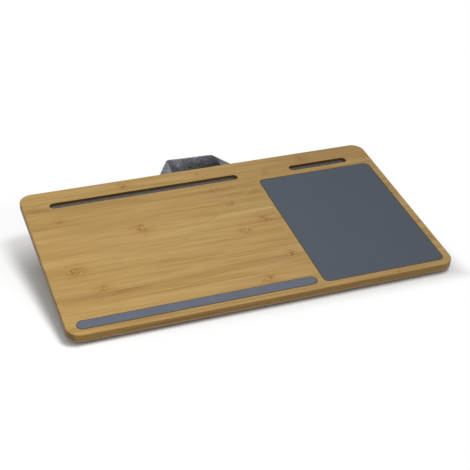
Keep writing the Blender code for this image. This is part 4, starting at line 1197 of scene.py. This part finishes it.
def handle_sections():
    """Every section of the handle from its left seam to its right seam, close enough for cloth."""
    left = [leg_section(-1, step / 10) for step in range(10)]
    left += [fold_section(-1, step / 12) for step in range(12)]
    right = [fold_section(1, step / 12) for step in reversed(range(12))]
    right += [leg_section(1, step / 10) for step in reversed(range(10))]
    left_end = crease(-1)[0]
    right_end = crease(1)[0]
    uppers = [left_end.lerp(handle_corner(1), step / 34) for step in range(35)]
    uppers += [handle_corner(1).lerp(right_end, step / 5) for step in range(1, 6)]
    band = [band_section(index / (len(uppers) - 1), upper) for index, upper in enumerate(uppers)]
    return left + band + right


def relax(grid, kept):
    """Eases all but a grid's end rows towards their neighbours, so that folds turn as cloth does."""
    eased = (grid[kept - 1 : -kept - 1] + 2 * grid[kept:-kept] + grid[kept + 1 : len(grid) - kept + 1]) / 4
    return np.concatenate((grid[:kept], eased, grid[-kept:]))


def band_solid(name, grid, thickness):
    """A closed strap round a grid of its middle surface, with rounded edges and a cloth map."""
    rows, columns = grid.shape[:2]
    half = thickness / 2
    lift = grid_normals(grid) * half
    spread = unit(np.gradient(grid, axis=1)) * half * 0.8
    top = [grid[:, c] + lift[:, c] for c in range(columns)]
    bottom = [grid[:, c] - lift[:, c] for c in reversed(range(columns))]
    right, left = (
        [grid[:, c] + side * (lift[:, c] * math.cos(t) + spread[:, c] * math.sin(t)) for t in EDGE_TURNS]
        for c, side in ((-1, 1), (0, -1))
    )
    ring = np.stack(top + right + bottom + left, axis=1)
    middle = ring[rows // 2]
    girth = walk_along(middle)
    points = ring.reshape(-1, 3)
    uv = joined(walk_along(grid[:, columns // 2])[:, None], girth)
    return face_outwards(smooth_mesh(name, points, tube_faces(rows, ring.shape[1]), uv=uv))


def dress_handle():
    """The strap with its sewn edges, riding on the handle's body, and its two ends under the panel."""
    rng = np.random.default_rng(SEED + 1)
    across = np.linspace(0, 1, STRAP_COLUMNS)
    grid = np.array([[outer.lerp(inner, share) for share in across] for outer, inner in handle_sections()])
    grid = relax(grid, 3)
    along = np.linspace(0, 1, len(grid))[:, None]
    free = np.clip(np.minimum(along, 1 - along) / 0.15, 0, 1)
    wave = 0.00045 * np.sin(along * 47 + 1.3 * np.sin(across * 5)) * np.sin(across * math.pi)
    wave = wave + 0.0003 * np.sin(along * 23 + across * 4 + rng.uniform(0, 6))
    pucker = 0.00022 * np.sin(along * 260) * (np.abs(across - 0.5) > 0.36)
    crown = 0.00035 * np.sin(across * math.pi)
    grid = grid + grid_normals(grid) * ((wave + pucker + crown) * free)[..., None]
    mesh = band_solid("handle_strap", grid, STRAP_THICKNESS - 0.0004)
    strap = piece("dressed_handle", mesh, STRAP_CLOTH, ["handle_strap"], BOARD_FRAME, "handle")
    subdivide(strap)
    normal = grid_normals(grid)
    runs = []
    for low, share in ((1, 0.15), (STRAP_COLUMNS - 3, 0.85)):
        line = grid[:, low] * (1 - share) + grid[:, low + 1] * share
        up = normal[:, low] * (1 - share) + normal[:, low + 1] * share
        for side in (1, -1):
            runs.append((line + side * up * (STRAP_THICKNESS / 2 - 0.0001), side * up))
    seams = stitch_mesh("handle_stitching", runs)
    piece("handle_stitching", seams, PALE_THREAD, (), BOARD_FRAME, "handle")
    for side, name in ((-1, "left"), (1, "right")):
        dress_tab(side, name)


def dress_tab(side, name):
    """One of the handle's sewn ends, with its two bar tacks."""
    back = SEAM_PLACE - FIT_GAP
    rows = np.linspace(back - TAB_LENGTH + 0.0002, back - 0.0001, 12)
    columns = np.linspace(0.001 - STRAP_WIDTH / 2, STRAP_WIDTH / 2 - 0.001, STRAP_COLUMNS)
    middle_z = (STRAP_TOP + STRAP_UNDERSIDE) / 2
    grid = np.array([[(handle_end(side) + x, y, middle_z) for x in columns] for y in rows])
    mesh = band_solid("handle_tab_" + name, grid, STRAP_THICKNESS - 0.0003)
    tab = piece("dressed_tab_" + name, mesh, STRAP_CLOTH, ["handle_tab_" + name], BOARD_FRAME)
    subdivide(tab)
    underside = STRAP_UNDERSIDE - FIT_GAP - 0.00027
    places = handle_end(side) + np.linspace(-TACK_LENGTH / 2, TACK_LENGTH / 2, TACK_PASSES + 1)
    for step, row in ((-1, "front"), (1, "back")):
        middle = back - TAB_LENGTH / 2 + (step * TACK_GAP - TACK_SHIFT) / 2
        swings = [TACK_SWING if index % 2 else -TACK_SWING for index in range(len(places))]
        path = [(x, middle + swing, underside) for x, swing in zip(places, swings)]
        node = f"handle_bar_tack_{name}_{row}"
        piece("dressed_" + node, tube("bar_tack", path, 0.0002, 6), THREAD, [node], BOARD_FRAME)


# Zip and screws


def coil_mesh(low, high):
    """A coil of interlocked turns, rooted in the upper and the lower tape by turns."""
    middle_y = (low.y + high.y) / 2
    middle_z = (low.z + high.z) / 2
    depth = (high.y - low.y) / 2
    sides = 8
    points = []
    faces = []
    for index in range(int((high.x - low.x) / COIL_PITCH)):
        x = low.x + COIL_PITCH * (index + 0.5)
        up = 1 if index % 2 else -1
        faces += tube_faces(len(COIL_SECTIONS), sides, len(points))
        for z, half_width, share in COIL_SECTIONS:
            for k in range(sides):
                turn = 2 * math.pi * k / sides
                y = middle_y + depth * share * math.sin(turn)
                points.append((x + half_width * math.cos(turn), y, middle_z + up * z))
    return face_outwards(smooth_mesh("zip_chain", points, faces))


def selvage(_, share):
    """The zip tape's two woven edges, which stand out a little."""
    return 0.0001 * np.abs(2 * share - 1) ** 4


def dress_zip():
    """Tapes with woven edges, a coil of interlocked turns and its stops."""
    piece("dressed_zip_chain", coil_mesh(*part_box("zip_chain")), COIL, ["zip_chain"])
    for name in ("zip_tape_lower", "zip_tape_upper"):
        dress_sheet("dressed_" + name, name, (120, 9), 0.0006, TAPE, selvage)
    for name in ("zip_stop_left", "zip_stop_right"):
        dress_stop(name)


def dress_stop(name):
    """One of the zip's two stops, a small cast block with rounded edges."""
    low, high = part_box(name)
    shape = bmesh.new()
    place = Matrix.Translation((low + high) / 2) @ Matrix.Diagonal((*(high - low), 1))
    bmesh.ops.create_cube(shape, size=1, matrix=place)
    bevel = {"offset": 0.0004, "segments": 4, "profile": 0.5, "affect": "EDGES", "clamp_overlap": True}
    bmesh.ops.bevel(shape, geom=shape.edges[:], **bevel)
    mesh = bpy.data.meshes.new("dressed_" + name)
    shape.to_mesh(mesh)
    shape.free()
    mesh.polygons.foreach_set("use_smooth", [True] * len(mesh.polygons))
    piece("dressed_" + name, mesh, ZIP_METAL, [name])


def screw_mesh(length):
    """A countersunk wood screw along +Z from its head's outer face, with a thread and a cross recess."""
    around = 32
    turns = np.arange(around) * 2 * math.pi / around
    rows = []

    def ring(radius, z):
        rows.append(joined(radius * np.cos(turns), radius * np.sin(turns), z))

    for radius in (0.0003, 0.0008, 0.0013, 0.0018, 0.0023, 0.0028):
        arm = radius * np.minimum(np.abs(np.cos(turns)), np.abs(np.sin(turns)))
        recess = np.clip((0.00055 - arm) / 0.0002, 0, 1) * np.clip((0.0021 - radius) / 0.0006, 0, 1)
        ring(radius, 0.0013 * recess)
    for radius, z in ((0.0032, 0.0), (0.0033, 0.0002), (0.0033, 0.0004), (0.0014, 0.0020)):
        ring(radius, z)
    tip = 0.0022
    pitch = 0.0011
    for z in np.arange(0.0022, length - 0.0002, 0.00016):
        ridge = 1 - np.abs(2 * ((z / pitch + turns / (2 * math.pi)) % 1) - 1)
        ring((0.00100 + 0.00045 * ridge**1.5) * min(1.0, (length - z) / tip), z)
    return face_outwards(smooth_mesh("wood_screw", np.concatenate(rows), tube_faces(len(rows), around)))


def dress_screws():
    """The screws that hold the hardboard, all of one mesh."""
    mesh = screw_mesh(0.0104)
    mesh.materials.append(STEEL)
    upright = Matrix.Rotation(TILT, 4, "X")
    rng = np.random.default_rng(SEED + 2)
    for number in range(1, SCREW_COUNT + 1):
        node = f"backing_screw_{number:02}"
        low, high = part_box(node)
        row = board_row((low.y + high.y) / 2, BACKING_UNDERSIDE)
        foot = BOARD_FRAME @ Vector(((low.x + high.x) / 2, row, BACKING_UNDERSIDE + 0.00005))
        turn = Matrix.Rotation(rng.uniform(0, math.pi / 2), 4, "Z")
        matrix = Matrix.Translation(foot) @ upright @ turn
        piece("dressed_" + node, mesh, None, [node], matrix)


def dress_rest():
    """Materials for the CAD nodes whose shape is right."""
    materials = {"mouse_pad_backing": PAD_RUBBER, "backing_board": HARDBOARD}
    for name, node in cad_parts.items():
        if node.hide_render:
            continue
        material = materials.get(name, ZIP_METAL)
        if not node.material_slots:
            node.data.materials.append(material)
        for holder in node.material_slots:
            holder.link = "OBJECT"
            holder.material = material


# Floor, light and camera


def make_floor():
    """A pale floor that keeps the shadow on its left, glows white as painted light on its right and front
    sides clear of the desk and partly behind it, and turns into the white background away from the desk.
    """
    mesh = bpy.data.meshes.new("floor")
    corners = [(x * FLOOR_REACH, y * FLOOR_REACH, 0) for x, y in ((-1, -1), (1, -1), (1, 1), (-1, 1))]
    mesh.from_pydata(corners, [], [(0, 1, 2, 3)])
    floor = bpy.data.objects.new("floor", mesh)
    bpy.context.scene.collection.objects.link(floor)
    s = Shade("floor", Roughness=1.0, Specular_IOR_Level=0.0)
    seen = s.seen()
    s.finish(s.mix(seen, (0.72, 0.72, 0.72), (1.0, 1.0, 1.0)))
    place = s.place()
    x, y, _ = s.split(place)
    past_side = s.math("SUBTRACT", s.math("ABSOLUTE", x), BOARD_LENGTH / 2)
    past_end = s.math("ABSOLUTE", s.math("SUBTRACT", y, FRAME_PLACE))
    past_end = s.math("SUBTRACT", past_end, BOARD_DEPTH / 2 * math.cos(TILT))
    clear = s.span(s.most(past_side, past_end), -0.004, 0.032)
    # Painted light: the floor glows white on its right and front sides clear of the board, and partly behind
    # it, hiding the lamp's falloff and part of the shadow there
    painted_light_side = s.span(s.vector("DOT_PRODUCT", place, (0.8, -0.6, 0)), -0.16, 0.02)
    far = s.span(s.vector("LENGTH", place), 0.42, 0.75)
    white = s.most(s.times(painted_light_side, clear), far, s.span(y, 0.02, 0.16, 0.0, 0.6), s.span(y, 0.16, 0.28))
    glow = s.node("Emission").outputs[0]
    blend = s.node("MixShader", {0: s.times(white, seen), 1: s.shader.outputs[0], 2: glow})
    s.give(s.tree.nodes["Material Output"].inputs["Surface"], blend.outputs[0])
    mesh.materials.append(s.material)


def make_light():
    """A pale studio: soft light all round, and a gridded softbox overhead at the right, aimed left."""
    world = bpy.data.worlds.new("studio")
    bpy.context.scene.world = world
    world.use_nodes = True
    ground = world.node_tree.nodes["Background"].inputs
    nodes = Nodes(world.node_tree)
    strength = nodes.node("MapRange", {"Value": nodes.seen(), "To Min": AMBIENT, "To Max": 1.0})
    nodes.give(ground["Strength"], strength.outputs["Result"])
    ground["Color"].default_value = (1, 1, 1, 1)
    data = bpy.data.lights.new("key", "AREA")
    data.shape = "SQUARE"
    data.size = 1.2
    data.spread = math.radians(45)
    data.energy = 4.7
    lamp = bpy.data.objects.new("key", data)
    lamp.location = KEY_PLACE
    lamp.rotation_euler = (Vector(KEY_AIM) - Vector(KEY_PLACE)).to_track_quat("-Z", "Y").to_euler()
    bpy.context.scene.collection.objects.link(lamp)


def make_camera():
    """The photograph's point of view."""
    data = bpy.data.cameras.new("camera")
    data.lens = CAMERA_LENS
    data.sensor_width = 36
    data.clip_start = 0.01
    camera = bpy.data.objects.new("camera", data)
    camera.location = CAMERA_PLACE
    camera.rotation_euler = (math.radians(90 - CAMERA_DROP), 0, math.radians(-CAMERA_TURN))
    bpy.context.scene.collection.objects.link(camera)
    bpy.context.scene.camera = camera


make_camera()
make_floor()
make_light()
dress_board()
dress_wall()
dress_base()
dress_piping()
dress_panel()
dress_bags()
dress_baffle()
dress_handle()
dress_zip()
dress_screws()
dress_rest()
bpy.context.scene.view_settings.view_transform = "Standard"
